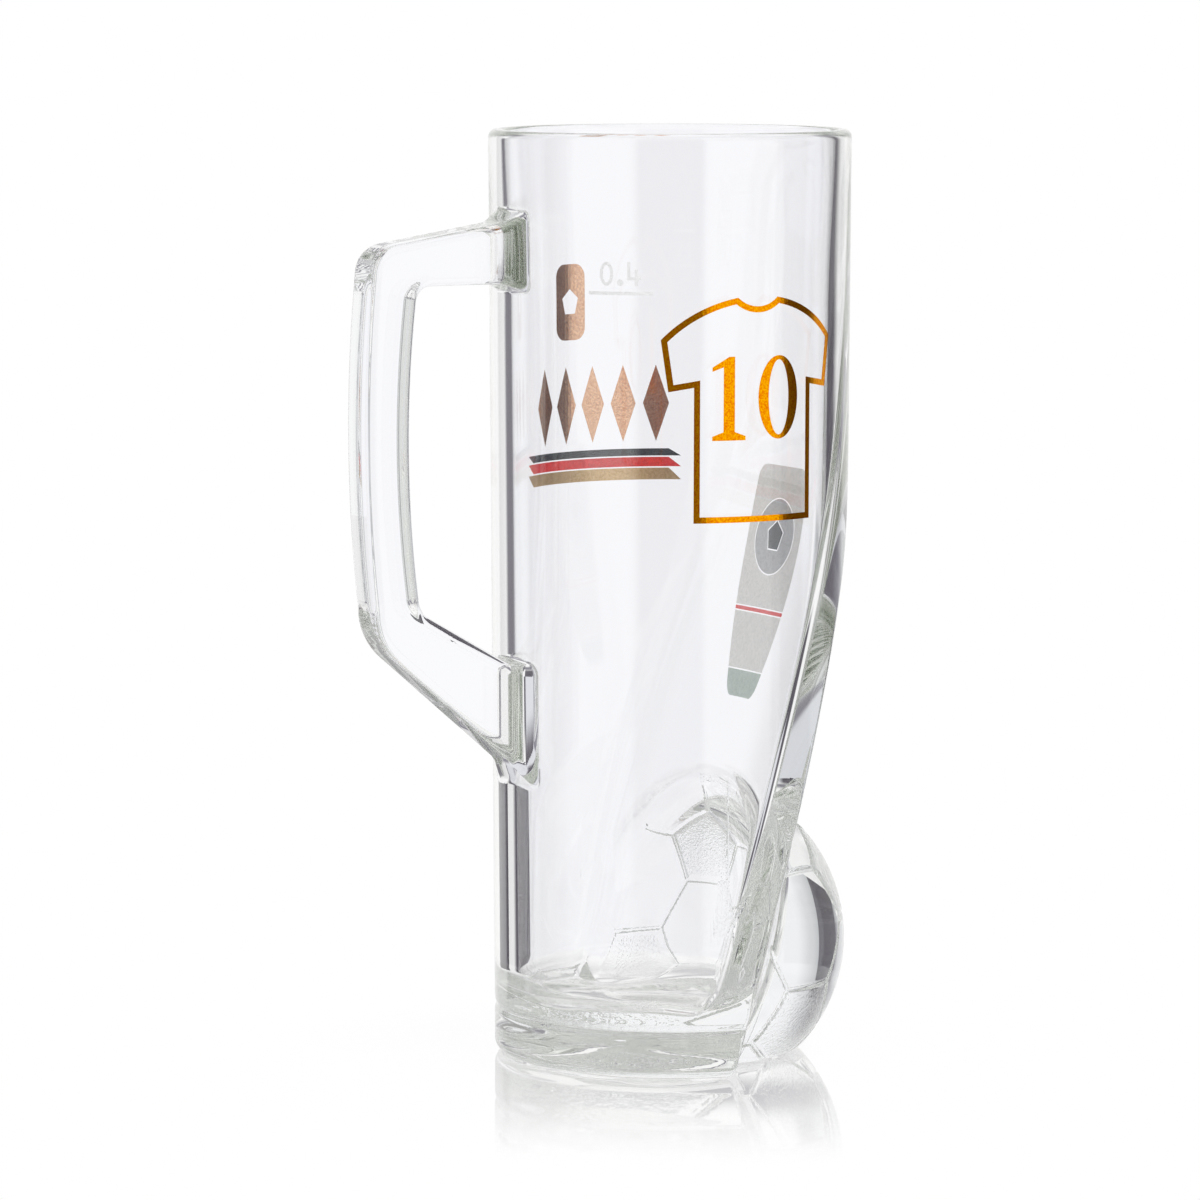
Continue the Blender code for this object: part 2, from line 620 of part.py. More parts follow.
def make_label(finishes):
    """Printed label on the slanted front, from its foot band up to the panel with a disc."""
    level = LABEL_FOOT_HEIGHT
    strips = (("label_band", LABEL_BAND_HEIGHT, "green", LABEL_ROUND),
              ("label_lower_panel", LABEL_LOWER_HEIGHT, "pale", 0.0),
              ("label_line", LABEL_LINE_HEIGHT, "red", 0.0))
    for name, height, colour, low_round in strips:
        outline = rounded_box(LABEL_WIDTH, level, level + height, low_round, 0.0)
        lay_print(name, flat_shape(outline), on_front, finishes[colour], up_cuts=True)
        level += height + SEAT_GAP
    outline = rounded_box(LABEL_WIDTH, level, level + LABEL_UPPER_HEIGHT, 0.0, LABEL_ROUND)
    middle = (0.0, label_middle())
    hole = ring_points(middle, LABEL_DISC_RADIUS + SEAT_GAP, LABEL_DISC_RADIUS + SEAT_GAP)
    lay_print("label_upper_panel", flat_shape(outline, hole), on_front, finishes["pale"], up_cuts=True)
    disc = ring_points(middle, LABEL_DISC_RADIUS, LABEL_DISC_RADIUS)
    opening = LABEL_PENTAGON_RADIUS + SEAT_GAP / math.cos(math.pi / 5)
    eye = ring_points(middle, opening, opening, 5)
    lay_print("label_disc", flat_shape(disc, eye), on_front, finishes["grey"], up_cuts=True)
    star = ring_points(middle, LABEL_PENTAGON_RADIUS, LABEL_PENTAGON_RADIUS, 5)
    lay_print("label_pentagon", flat_shape(star), on_front, finishes["dark"], up_cuts=True)


def main():
    """Builds the mug from an empty scene."""
    for leftover in list(bpy.data.objects):
        bpy.data.objects.remove(leftover, do_unlink=True)
    glass = finish("clear_glass", (0.93, 0.95, 0.94), 0.02, transmission=1.0)
    lustre = finish("orange_lustre", (0.78, 0.30, 0.03), 0.28, metallic=0.9)
    enamels = {
        "copper": finish("copper_lustre", (0.42, 0.17, 0.07), 0.32, metallic=0.85),
        "gold": finish("gold_enamel", (0.60, 0.42, 0.19), 0.35, metallic=0.6),
        "red": finish("red_enamel", (0.62, 0.02, 0.02), 0.35),
        "dark": finish("dark_enamel", (0.02, 0.03, 0.03), 0.35),
        "pale": finish("pale_enamel", (0.72, 0.71, 0.67), 0.4),
        "green": finish("green_grey_enamel", (0.33, 0.40, 0.35), 0.4),
        "grey": finish("grey_enamel", (0.40, 0.41, 0.41), 0.4),
    }
    make_beaker(glass)
    make_base_slab(glass)
    make_ball_foot(glass)
    make_handle(glass)
    make_shirt(lustre)
    make_far_side(enamels)
    make_fill_mark(finish("white_enamel", (0.80, 0.80, 0.80), 0.5))
    make_label(enamels)


main()
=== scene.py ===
# %% [markdown]
# # A glass beer mug with a football at its foot
#
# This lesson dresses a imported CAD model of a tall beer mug. The real mug is one pressing of clear glass: a
# tapered wall, a front that is cut slantwise, half a football that stands before the cut, a thick base and a
# bar handle. Orange and copper lustre and a few enamels are fired on. The CAD pieces come in as a fixed
# frame, and every visible piece is made to lie exactly where they are.

# %% Load the frame
import math

import bmesh
import bpy
import numpy as np
from mathutils import Matrix, Vector


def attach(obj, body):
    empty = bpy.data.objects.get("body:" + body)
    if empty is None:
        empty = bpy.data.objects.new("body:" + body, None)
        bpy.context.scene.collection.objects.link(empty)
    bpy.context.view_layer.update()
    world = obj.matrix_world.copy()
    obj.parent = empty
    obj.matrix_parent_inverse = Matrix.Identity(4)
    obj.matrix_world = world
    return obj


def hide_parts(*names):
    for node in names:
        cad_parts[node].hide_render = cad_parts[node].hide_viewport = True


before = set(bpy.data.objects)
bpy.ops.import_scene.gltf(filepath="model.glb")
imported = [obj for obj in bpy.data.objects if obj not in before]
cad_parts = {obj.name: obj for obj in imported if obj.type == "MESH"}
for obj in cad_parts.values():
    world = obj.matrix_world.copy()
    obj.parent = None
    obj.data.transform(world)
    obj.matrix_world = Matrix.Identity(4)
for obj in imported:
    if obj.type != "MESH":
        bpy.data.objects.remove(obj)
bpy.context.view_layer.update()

# %% [markdown]
# ## The camera
#
# A photograph of a tumbler gives its own camera away: the rim and the base are circles, and how much each is
# flattened says how far above it the lens stands. Here that gives a long lens, a good metre away and a little
# above the rim. A camera could also be aimed with a Track To constraint, but fixed numbers never drift. Light
# that gets into thick glass turns many corners before it leaves, so the path tracer may follow it for long,
# and mirror images stay sharp all the way: with fewer bounces the handle's collars would go black.

# %% Set the camera
LENS = 169.09
SENSOR_WIDTH = 36.0
CAMERA_PLACE = (-0.5915, -1.0580, 0.2367)
CAMERA_TILT = math.radians(83.484)
CAMERA_TURN = math.radians(-28.5)
GLASS_BOUNCES = 128


def add_camera():
    """Camera at the photograph's viewing angle."""
    lens = bpy.data.cameras.new("camera")
    lens.sensor_width = SENSOR_WIDTH
    lens.lens = LENS
    camera = bpy.data.objects.new("camera", lens)
    camera.location = CAMERA_PLACE
    camera.rotation_euler = (CAMERA_TILT, 0.0, CAMERA_TURN)
    bpy.context.collection.objects.link(camera)
    return camera


scene = bpy.context.scene
scene.camera = add_camera()
scene.view_settings.view_transform = "Standard"
scene.cycles.max_bounces = GLASS_BOUNCES
scene.cycles.glossy_bounces = GLASS_BOUNCES
scene.cycles.transmission_bounces = GLASS_BOUNCES
scene.cycles.blur_glossy = 0.0
print("camera distance:", round(scene.camera.location.length, 3), "m")

# %% [markdown]
# ## Glass as one field of distances
#
# Pressed glass has no hard inner corner: wherever two forms meet, the hot glass leaves a fillet. Booleans and
# a Bevel modifier could make these, but a bevel breaks where three fillets run into each other, and any wall
# left between two fused pieces would shine inside the glass like a crack. So the glass is described as a
# function: for each point, how far it lies from the surface, negative inside. Two forms then fuse with a
# fillet, or trim each other with a rounded edge, by a short formula. Lengths are in millimetres until the
# mesh is made.

# %% Fuse and trim
def fuse(a, b, radius):
    """Union of two distances, with a hollow fillet where they meet."""
    fillet = np.hypot(np.maximum(radius - a, 0.0), np.maximum(radius - b, 0.0))
    return np.maximum(radius, np.minimum(a, b)) - fillet


def trim(a, b, radius):
    """What two distances share, with a rounded edge where they meet."""
    edge = np.hypot(np.maximum(radius + a, 0.0), np.maximum(radius + b, 0.0))
    return np.minimum(-radius, np.maximum(a, b)) + edge


print("two walls 1 mm away fuse to", round(float(fuse(1.0, 1.0, 2.0)), 3), "mm")

# %% [markdown]
# ## Wall and drinking space
#
# The wall widens by only a millimetre from base to rim, and it thins on the way up, because the plunger that
# pressed it has a taper of its own. Both are straight lines in a table of radius against height. A Screw
# modifier on a profile would turn the same shape.

# %% Wall and drinking space
MUG_HEIGHT = 200.0
BASE_RADIUS = 37.9
RIM_RADIUS = 39.0
FLOOR_HEIGHT = 12.8
LOW_WALL = 5.2
HIGH_WALL = 4.5
RIM_WALL = 3.4
THINNING = 40.0


def smooth(share):
    """Share from nil to one that starts and ends gently."""
    share = np.clip(share, 0.0, 1.0)
    return share * share * (3.0 - 2.0 * share)


def wall_radius(z):
    """Outer radius of the mug at a height."""
    return BASE_RADIUS + (RIM_RADIUS - BASE_RADIUS) * z / MUG_HEIGHT


def inner_radius(z):
    """Radius of the drinking space at a height."""
    share = (z - FLOOR_HEIGHT) / (MUG_HEIGHT - FLOOR_HEIGHT)
    thinner = smooth((z - MUG_HEIGHT + THINNING) / THINNING)
    return wall_radius(z) - (LOW_WALL + (HIGH_WALL - LOW_WALL) * share + (RIM_WALL - HIGH_WALL) * thinner)


print("radius at the rim:", wall_radius(MUG_HEIGHT), "and inside", round(float(inner_radius(MUG_HEIGHT)), 1))

# %% [markdown]
# ## The slanted front
#
# The front leans back from the ball, bends upright and runs out just under the rim. Seen from the side it is
# one curve: a straight run, a Bezier bend and a short run-out. A table of its points gives the distance to it
# at any height, once for the outside and once for the inside of the glass. A flat front would look like a cut
# pane. The real one swells a little across its width, so it falls back by the square of the way to its side.

# %% Slanted front
FRONT_FOOT = -0.1
FRONT_LEAN = math.radians(16.4)
PLUNGER_FOOT = -6.8
PLUNGER_LEAN = math.radians(15.7)
FRONT_BEND = 103.0
PLUNGER_BEND = 90.0
FRONT_SWELL = 150.0
FRONT_TOP_LEAN = math.radians(2.5)
FRONT_TOP = 186.0
FRONT_TOP_BITE = 2.0
FRONT_RUNOUT = 10.0
FRONT_REACH = 60.0
FRONT_STEPS = 60


def front_curve(foot, lean, bend_height, radius_at):
    """Heights and depths along a slanted front, from far below the base to far above the rim."""
    bend = np.array((foot + math.tan(lean) * bend_height, bend_height))
    top = np.array((radius_at(FRONT_TOP) - FRONT_TOP_BITE, FRONT_TOP))
    pull = np.linalg.norm(top - bend) / 3
    low_pull = bend + pull * np.array((math.sin(lean), math.cos(lean)))
    top_pull = top - pull * np.array((math.sin(FRONT_TOP_LEAN), math.cos(FRONT_TOP_LEAN)))
    t = np.linspace(0.0, 1.0, FRONT_STEPS)[:, None]
    middle = 3 * t * (1 - t) ** 2 * low_pull + 3 * t * t * (1 - t) * top_pull
    curve = (1 - t) ** 3 * bend + middle + t ** 3 * top
    below = (foot - math.tan(lean) * FRONT_REACH, -FRONT_REACH)
    rise = FRONT_REACH / FRONT_RUNOUT
    above = top + rise * np.array((FRONT_TOP_BITE, FRONT_RUNOUT))
    points = np.vstack((below, curve, above))
    return points[:, 1], points[:, 0]


def front_swell(y):
    """How far a slanted front falls back at a distance from its middle."""
    return y * y / (2 * FRONT_SWELL)


def front_distance(x, y, z, curve):
    """Distance before a slanted front, negative behind it."""
    step = 2.0
    depth = np.interp(z, *curve) - front_swell(y)
    lean = (np.interp(z + step, *curve) - np.interp(z - step, *curve)) / (2 * step)
    return (x - depth) / np.sqrt(1.0 + lean * lean + (y / FRONT_SWELL) ** 2)


outer_front = front_curve(FRONT_FOOT, FRONT_LEAN, FRONT_BEND, wall_radius)
inner_front = front_curve(PLUNGER_FOOT, PLUNGER_LEAN, PLUNGER_BEND, inner_radius)
print("depth of the front at 100 mm:", round(float(np.interp(100.0, *outer_front)), 1), "mm")

# %% [markdown]
# ## The football
#
# A football's panels are those of an icosahedron with its corners cut off: a pentagon for each corner and a
# hexagon for each face. Blender's icosphere gives both sets of directions. A point belongs to the panel whose
# plane it lies furthest beyond, and the difference to the next panel says how far away the seam is. That
# distance sinks a groove into the ball and also tells the finish where the stippled pentagons are.

# %% Football panels
BALL_CENTRE = np.array((3.9, 0.0, 24.5))
BALL_RADIUS = 34.8
BALL_TURN = math.radians(41.0)
BALL_ROLL = math.radians(2.5)
SEAM_WIDTH = 1.5
SEAM_DEPTH = 0.5
SEAM_REACH = 2.0
NEAR_PANELS = 4


def ball_panels():
    """Directions of the twelve pentagons and then the twenty hexagons, each divided by its plane's height."""
    bm = bmesh.new()
    bmesh.ops.create_icosphere(bm, subdivisions=1, radius=1.0)
    turn = Matrix.Rotation(BALL_ROLL, 3, "X") @ Matrix.Rotation(BALL_TURN, 3, "Z")
    panels = []
    for vert in bm.verts:
        neighbour = vert.link_edges[0].other_vert(vert)
        height = vert.co.dot(vert.co.lerp(neighbour.co, 1 / 3))
        panels.append((turn @ vert.co) / height)
    for face in bm.faces:
        centre = face.calc_center_median()
        panels.append((turn @ centre) / centre.length_squared)
    bm.free()
    return np.array(panels)


def nearest_seam(points):
    """Distance in millimetres to the nearest seam, and the panel, for points near the ball's skin."""
    ways = points - BALL_CENTRE
    ways = ways / np.linalg.norm(ways, axis=1)[:, None]
    beyond = ways @ panels.T
    order = np.argsort(-beyond, axis=1)[:, :NEAR_PANELS]
    best = np.take_along_axis(beyond, order, 1)
    seam = np.full(len(ways), BALL_RADIUS)
    for rank in range(1, NEAR_PANELS):
        across = np.linalg.norm(panels[order[:, 0]] - panels[order[:, rank]], axis=1)
        seam = np.minimum(seam, BALL_RADIUS * (best[:, 0] - best[:, rank]) / across)
    return seam, order[:, 0]


def ball_distance(x, y, z):
    """Distance to the ball, with its seams sunk in."""
    points = np.stack(np.broadcast_arrays(x, y, z), -1)
    away = np.linalg.norm(points - BALL_CENTRE, axis=-1) - BALL_RADIUS
    near = np.abs(away) < SEAM_REACH
    if near.any():
        seam, _ = nearest_seam(points[near])
        away[near] += SEAM_DEPTH * (1.0 - smooth(seam / (SEAM_WIDTH / 2)))
    return away


panels = ball_panels()
print("football panels:", len(panels))

# %% [markdown]
# ## The handle
#
# The handle is a bar of glass bent round the fingers. Its outline from the side is a polygon with rounded
# corners, and the distance to a polygon is the least distance to its edges. Pulled out to the bar's width and
# trimmed with a small radius, that gives its flat faces and soft edges. At the wall each arm ends in a
# collar, a slope that widens it and shows as a green-grey border. The next step adds it, because it follows
# the wall.

# %% Handle outline
HANDLE_TOP = 176.0
HANDLE_LENGTH = 82.4
HANDLE_REACH = 34.5
HANDLE_BOW = 1.9
HANDLE_WIDTH = 11.5
GRIP_DEPTH = 10.2
TOP_ARM_DEPTH = 8.0
TOP_ARM_RISE = math.radians(9.0)
LOW_ARM_SLOPE = math.radians(40.7)
LOW_ARM_UPPER_SLOPE = math.radians(30.0)
LOW_CORNER_LIFT = 6.0
BACK_TOP_ROUND = 6.5
BACK_LOW_ROUND = 14.0
GRIP_TOP_ROUND = 3.6
GRIP_LOW_ROUND = 4.8
HANDLE_ROOT = -35.5
CORNER_STEPS = 8
GRIP_STEPS = 14


def rounded_corner(before, point, after, radius):
    """Points of an arc that rounds a corner between two neighbours."""
    point = Vector(point)
    back = (Vector(before) - point).normalized()
    ahead = (Vector(after) - point).normalized()
    half = back.angle(ahead) / 2
    centre = point + (back + ahead).normalized() * (radius / math.sin(half))
    reach = radius / math.tan(half)
    start = point + back * reach - centre
    turn = start.angle_signed(point + ahead * reach - centre)
    shares = [i / CORNER_STEPS for i in range(CORNER_STEPS + 1)]
    return [tuple(centre + Matrix.Rotation(-turn * share, 2) @ start) for share in shares]


def bowed(start, end):
    """Points between two ends of the grip, bowed away from the wall."""
    points = []
    for i in range(1, GRIP_STEPS):
        share = i / GRIP_STEPS
        x, z = Vector(start).lerp(Vector(end), share)
        points.append((x - HANDLE_BOW * 4 * share * (1 - share), z))
    return points


def handle_outline():
    """Outline of the handle from the side, closed through the wall."""
    low_z = HANDLE_TOP - HANDLE_LENGTH
    top = (-wall_radius(HANDLE_TOP) - HANDLE_REACH, HANDLE_TOP)
    low = (-wall_radius(low_z) - HANDLE_REACH, low_z)
    finger_top = (top[0] + GRIP_DEPTH, HANDLE_TOP - TOP_ARM_DEPTH)
    finger_low = (low[0] + GRIP_DEPTH, low_z + LOW_CORNER_LIFT)
    upper = (HANDLE_ROOT, top[1] + (HANDLE_ROOT - top[0]) * math.tan(TOP_ARM_RISE))
    lower = (HANDLE_ROOT, low[1] - (HANDLE_ROOT - low[0]) * math.tan(LOW_ARM_SLOPE))
    finger = (HANDLE_ROOT, finger_top[1])
    under = (HANDLE_ROOT, finger_low[1] - (HANDLE_ROOT - finger_low[0]) * math.tan(LOW_ARM_UPPER_SLOPE))
    back_top = rounded_corner(upper, top, low, BACK_TOP_ROUND)
    back_low = rounded_corner(top, low, lower, BACK_LOW_ROUND)
    grip_top = rounded_corner(finger, finger_top, finger_low, GRIP_TOP_ROUND)
    grip_low = rounded_corner(finger_top, finger_low, under, GRIP_LOW_ROUND)
    back = [upper] + back_top + bowed(back_top[-1], back_low[0]) + back_low + [lower]
    grip = [finger] + grip_top + bowed(grip_top[-1], grip_low[0]) + grip_low + [under]
    return np.array(back + grip[::-1])


def outline_distance(x, z, outline):
    """Distance to a polygon in the side view, negative inside."""
    x, z = np.broadcast_arrays(x, z)
    least = np.full(x.shape, np.inf)
    inside = np.zeros(x.shape, bool)
    for (ax, az), (bx, bz) in zip(outline, np.roll(outline, -1, axis=0)):
        along = ((x - ax) * (bx - ax) + (z - az) * (bz - az)) / ((bx - ax) ** 2 + (bz - az) ** 2)
        along = np.clip(along, 0.0, 1.0)
        least = np.minimum(least, (x - ax - along * (bx - ax)) ** 2 + (z - az - along * (bz - az)) ** 2)
        if az != bz:
            crossed = (az > z) != (bz > z)
            inside ^= crossed & (x < ax + (bx - ax) * (z - az) / (bz - az))
    return np.where(inside, -1.0, 1.0) * np.sqrt(least)


handle_side = handle_outline()
print("handle outline:", len(handle_side), "points")

# %% [markdown]
# ## The whole glass
#
# Now the forms are put together in the order in which a mould maker thinks: the turned blank is trimmed by
# the slanted front, the ball and the handle are fused on, and the plunger takes the drinking space away. The
# radius given to each step is the fillet or the edge that the photograph shows there. Perfect forms would
# look like plastic, so the traces of pressing are added too: slow waves in the floor and in the underside, a
# crease above the base, and an egg-shaped recess where the plunger reached into the ball.

# %% The whole glass
RIM_ROUND = 1.7
LIP_ROUND = 1.2
FOOT_ROUND = 2.6
FRONT_EDGE = 1.2
BALL_EDGE = 1.6
BALL_FILLET = 4.5
HANDLE_EDGE = 2.2
TOP_COLLAR_WIDTH = 1.6
LOW_COLLAR_WIDTH = 3.5
COLLAR_RISE = 1.8
TOP_COLLAR_LENGTH = 3.9
LOW_COLLAR_LENGTH = 2.8
COLLAR_ROUND = 1.5
COLLAR_EDGE = 0.5
COLLAR_SINK = 1.0
CORNER_ROUND = 3.5
FLOOR_ROUND = 6.5
RECESS_CENTRE = (-2.0, 0.0, 27.0)
RECESS_REACH = (17.5, 30.0, 34.0)
RECESS_LEAN = math.radians(11.0)
RECESS_ROUND = 3.5
RIPPLES = ((0.28, 0.9, 0.13, 0.0), (0.24, 1.1, 0.14, 1.0))
FLOOR_WAVE = 0.7
UNDER_WAVE = 0.1
CREASE_HEIGHT = 10.5
CREASE_DEPTH = 0.35
CREASE_WIDTH = 0.8
TINY = 1e-6


def sloped(away, wall, width, length):
    """Distance to a slope that leaves the wall at a width and ends at a length from it."""
    return (away / width + wall / length - 1.0) / np.hypot(1.0 / width, 1.0 / length)


def handle_distance(x, y, z, wall):
    """Distance to the handle with a collar at each end, the lower one wider."""
    outline = outline_distance(x, z, handle_side)
    aside = np.abs(y) - HANDLE_WIDTH / 2
    bar = trim(outline, aside, HANDLE_EDGE)
    share = np.clip((z - HANDLE_TOP + HANDLE_LENGTH) / HANDLE_LENGTH, 0.0, 1.0)
    width = LOW_COLLAR_WIDTH + (TOP_COLLAR_WIDTH - LOW_COLLAR_WIDTH) * share
    length = LOW_COLLAR_LENGTH + (TOP_COLLAR_LENGTH - LOW_COLLAR_LENGTH) * share
    sides = sloped(aside, wall, width, length)
    ends = sloped(outline, wall, COLLAR_RISE, length)
    collar = np.maximum(trim(sides, ends, COLLAR_ROUND), -COLLAR_SINK - wall)
    return fuse(bar, collar, COLLAR_EDGE)


def recess_distance(x, y, z):
    """Distance to the egg-shaped recess that the drinking space has in the ball, leaning with the front."""
    leaned = x - math.tan(RECESS_LEAN) * (z - RECESS_CENTRE[2])
    places = zip((leaned, y, z), RECESS_CENTRE, RECESS_REACH)
    shares = [(value - middle) / reach for value, middle, reach in places]
    length = np.sqrt(sum(share * share for share in shares))
    steepness = np.sqrt(sum((share / reach) ** 2 for share, reach in zip(shares, RECESS_REACH)))
    return length * (length - 1.0) / np.maximum(steepness, TINY)


def floor_wave(x, y):
    """Unevenness of the pressed floor and of the underside, between minus one and one."""
    total = 0.0
    for (pace, swing, side_pace, start), along, across in zip(RIPPLES, (x, y), (y, x)):
        total = total + np.sin(pace * along + swing * np.sin(side_pace * across + start)) / len(RIPPLES)
    return total


def glass_distance(x, y, z):
    """Distance to the surface of the glass, negative inside it."""
    from_axis = np.sqrt(x * x + y * y)
    wall = from_axis - wall_radius(z)
    crease = CREASE_DEPTH * np.exp(-((z - CREASE_HEIGHT) / CREASE_WIDTH) ** 2)
    wave = floor_wave(x, y)
    underside = UNDER_WAVE * (1.0 + wave) - z
    blank = trim(trim(wall + crease, z - MUG_HEIGHT, RIM_ROUND), underside, FOOT_ROUND)
    body = trim(blank, front_distance(x, y, z, outer_front), FRONT_EDGE)
    body = fuse(body, trim(ball_distance(x, y, z), -z, BALL_EDGE), BALL_FILLET)
    body = np.maximum(body, underside)
    body = fuse(body, handle_distance(x, y, z, wall), COLLAR_EDGE)
    space = trim(from_axis - inner_radius(z), front_distance(x, y, z, inner_front), CORNER_ROUND)
    space = fuse(space, recess_distance(x, y, z), RECESS_ROUND)
    space = trim(space, FLOOR_HEIGHT + FLOOR_WAVE * wave - z, FLOOR_ROUND)
    return trim(body, -space, LIP_ROUND)


mid_wall = glass_distance(np.array(0.0), np.array(-36.0), np.array(100.0))
print("glass at mid wall:", round(float(mid_wall), 2), "mm")

# %% [markdown]
# ## From distances to a mesh
#
# Blender's Remesh modifier turns a volume into a skin, but it knows only the voxels. With a function at hand
# we can do better. Surface nets put one point in each cell of a grid that the surface crosses and join
# neighbouring cells with quads, which gives an even, closed skin.

# %% Surface nets
GRID_BOX = ((-77.5, 41.0), (-41.0, 41.0), (-1.2, 201.5))
GRID_STEP = 0.5


def sample_field(step):
    """Axes of a grid round the mug and the distance at each of its points, filled in layer by layer."""
    axes = [np.arange(low, high, step) for low, high in GRID_BOX]
    field = np.empty([len(axis) for axis in axes], np.float32)
    layers = 16
    for first in range(0, len(axes[2]), layers):
        z = axes[2][None, None, first:first + layers]
        field[:, :, first:first + layers] = glass_distance(axes[0][:, None, None], axes[1][None, :, None], z)
    return axes, field


def net_points(field, axes, cells):
    """One point in each crossed cell: the mean of where its edges cross the surface."""
    total = np.zeros((len(cells), 3))
    count = np.zeros(len(cells))
    for axis in range(3):
        others = [other for other in range(3) if other != axis]
        for corner in range(4):
            start = cells.copy()
            start[:, others[0]] += corner % 2
            start[:, others[1]] += corner // 2
            end = start.copy()
            end[:, axis] += 1
            before = field[tuple(start.T)]
            after = field[tuple(end.T)]
            crossed = (before < 0) != (after < 0)
            share = np.where(crossed, before / np.where(crossed, before - after, 1.0), 0.0)
            place = np.stack([axes[i][start[:, i]] for i in range(3)], 1)
            place[:, axis] += share * (axes[axis][1] - axes[axis][0])
            total += place * crossed[:, None]
            count += crossed
    return total / count[:, None]


def surface_net(field, axes):
    """Points and quads of the skin where a field changes sign."""
    inside = field < 0
    shape = [size - 1 for size in field.shape]
    filled = np.zeros(shape, np.uint8)
    for corner in range(8):
        shift = (corner & 1, corner >> 1 & 1, corner >> 2)
        filled += inside[tuple(slice(s, s + size) for s, size in zip(shift, shape))]
    crossed = (filled > 0) & (filled < 8)
    cells = np.argwhere(crossed)
    number = np.full(shape, -1, np.int32)
    number[crossed] = np.arange(len(cells))
    quads = []
    for axis in range(3):
        one, two = (axis + 1) % 3, (axis + 2) % 3
        ahead = np.take(inside, range(1, field.shape[axis]), axis)
        behind = np.take(inside, range(shape[axis]), axis)
        edges = np.argwhere(ahead != behind)
        outward = behind[tuple(edges.T)]
        ring = []
        for back_one, back_two in ((1, 1), (0, 1), (0, 0), (1, 0)):
            cell = edges.copy()
            cell[:, one] -= back_one
            cell[:, two] -= back_two
            ring.append(number[tuple(cell.T)])
        ring = np.stack(ring, 1)
        quads.append(np.where(outward[:, None], ring, ring[:, ::-1]))
    return net_points(field, axes, cells), np.concatenate(quads)


def mesh_from(name, points, faces):
    """Mesh from arrays of points and of faces with one number of corners."""
    mesh = bpy.data.meshes.new(name)
    mesh.from_pydata(points, [], faces.tolist())
    mesh.validate()
    return mesh


grid_axes, distances = sample_field(GRID_STEP)
net, net_quads = surface_net(distances, grid_axes)
print("grid:", distances.shape, "skin:", len(net), "points,", len(net_quads), "quads")

# %% [markdown]
# ## Fewer faces, and exact ones
#
# An even skin spends as many faces on the straight wall as on a seam. The Decimate modifier collapses edges
# where the skin is flat and keeps them where it bends. It can leave an edge with four faces, which is cut out
# and closed again. Afterwards each point is moved onto the true surface along its slope, and the same slope
# gives its normal. That is what keeps reflections in the wall calm.

# %% Glass skin
MM = 0.001
SKIN_TRIANGLES = 190000
SETTLING_STEPS = 3


def slope_of(points):
    """Unit slope of the glass's distance at points, by differences."""
    step = 0.02
    slope = np.empty_like(points)
    for axis in range(3):
        shift = np.zeros(3)
        shift[axis] = step
        slope[:, axis] = glass_distance(*(points + shift).T) - glass_distance(*(points - shift).T)
    return slope / np.linalg.norm(slope, axis=1)[:, None]


def thin_out(name, mesh, triangles):
    """Mesh with fewer triangles where it is flat."""
    carrier = bpy.data.objects.new(name, mesh)
    bpy.context.collection.objects.link(carrier)
    decimate = carrier.modifiers.new("thin_out", "DECIMATE")
    decimate.ratio = min(1.0, triangles / (2 * len(mesh.polygons)))
    ready = carrier.evaluated_get(bpy.context.evaluated_depsgraph_get())
    thinned = bpy.data.meshes.new_from_object(ready)
    bpy.data.objects.remove(carrier)
    bpy.data.meshes.remove(mesh)
    return thinned


def mend_pinches(mesh):
    """Cuts out the few faces round an edge that four faces share, closes the holes, and counts them."""
    bm = bmesh.new()
    bm.from_mesh(mesh)
    pinched = {vert for edge in bm.edges if not edge.is_manifold for vert in edge.verts}
    around = {face for vert in pinched for face in vert.link_faces}
    bmesh.ops.delete(bm, geom=list(around), context="FACES")
    bmesh.ops.holes_fill(bm, edges=[edge for edge in bm.edges if edge.is_boundary], sides=0)
    bmesh.ops.triangulate(bm, faces=[face for face in bm.faces if len(face.verts) > 4])
    bmesh.ops.recalc_face_normals(bm, faces=bm.faces)
    bm.to_mesh(mesh)
    left = sum(not edge.is_manifold for edge in bm.edges)
    bm.free()
    return len(pinched), left


def glass_skin():
    """Mug's glass as one closed mesh in metres, with exact points and normals."""
    mesh = thin_out("glass_net", mesh_from("glass_net", net, net_quads), SKIN_TRIANGLES)
    print("pinched points and open edges left:", mend_pinches(mesh))
    points = np.empty(3 * len(mesh.vertices), np.float32)
    mesh.vertices.foreach_get("co", points)
    points = points.reshape(-1, 3).astype(float)
    for _ in range(SETTLING_STEPS):
        points -= slope_of(points) * glass_distance(*points.T)[:, None]
    mesh.vertices.foreach_set("co", (points * MM).astype(np.float32).ravel())
    mesh.shade_smooth()
    mesh.normals_split_custom_set_from_vertices(slope_of(points).tolist())
    return mesh, points


skin, skin_points = glass_skin()
print("glass:", len(skin.vertices), "points,", len(skin.polygons), "faces")

# %% [markdown]
# ## Clear glass
#
# Glass gets its colour from depth: a thin wall looks clear, while the collars, the corners and the base turn
# green-grey. A tint on the surface can't do that, so a Volume Absorption node takes a little light away for
# every millimetre inside. The pentagons of the ball are stippled in the mould. A point attribute marks them,
# and a Bump node roughens only those. A few small helpers keep node trees short from here on: they start a
# finish, add a node with its values and links, or do a sum.

# %% Clear glass
GLASS_IOR = 1.52
GLASS_TINT = (0.833, 0.855, 0.810, 1.0)
GLASS_DENSITY = 5.5
CLEAR = (1.0, 1.0, 1.0, 1.0)
STIPPLE_SCALE = 1300.0
STIPPLE_HEIGHT = 0.0003


def new_finish(name):
    """Material with its node tree and its Principled shader."""
    made = bpy.data.materials.new(name)
    made.use_nodes = True
    return made, made.node_tree, made.node_tree.nodes["Principled BSDF"]


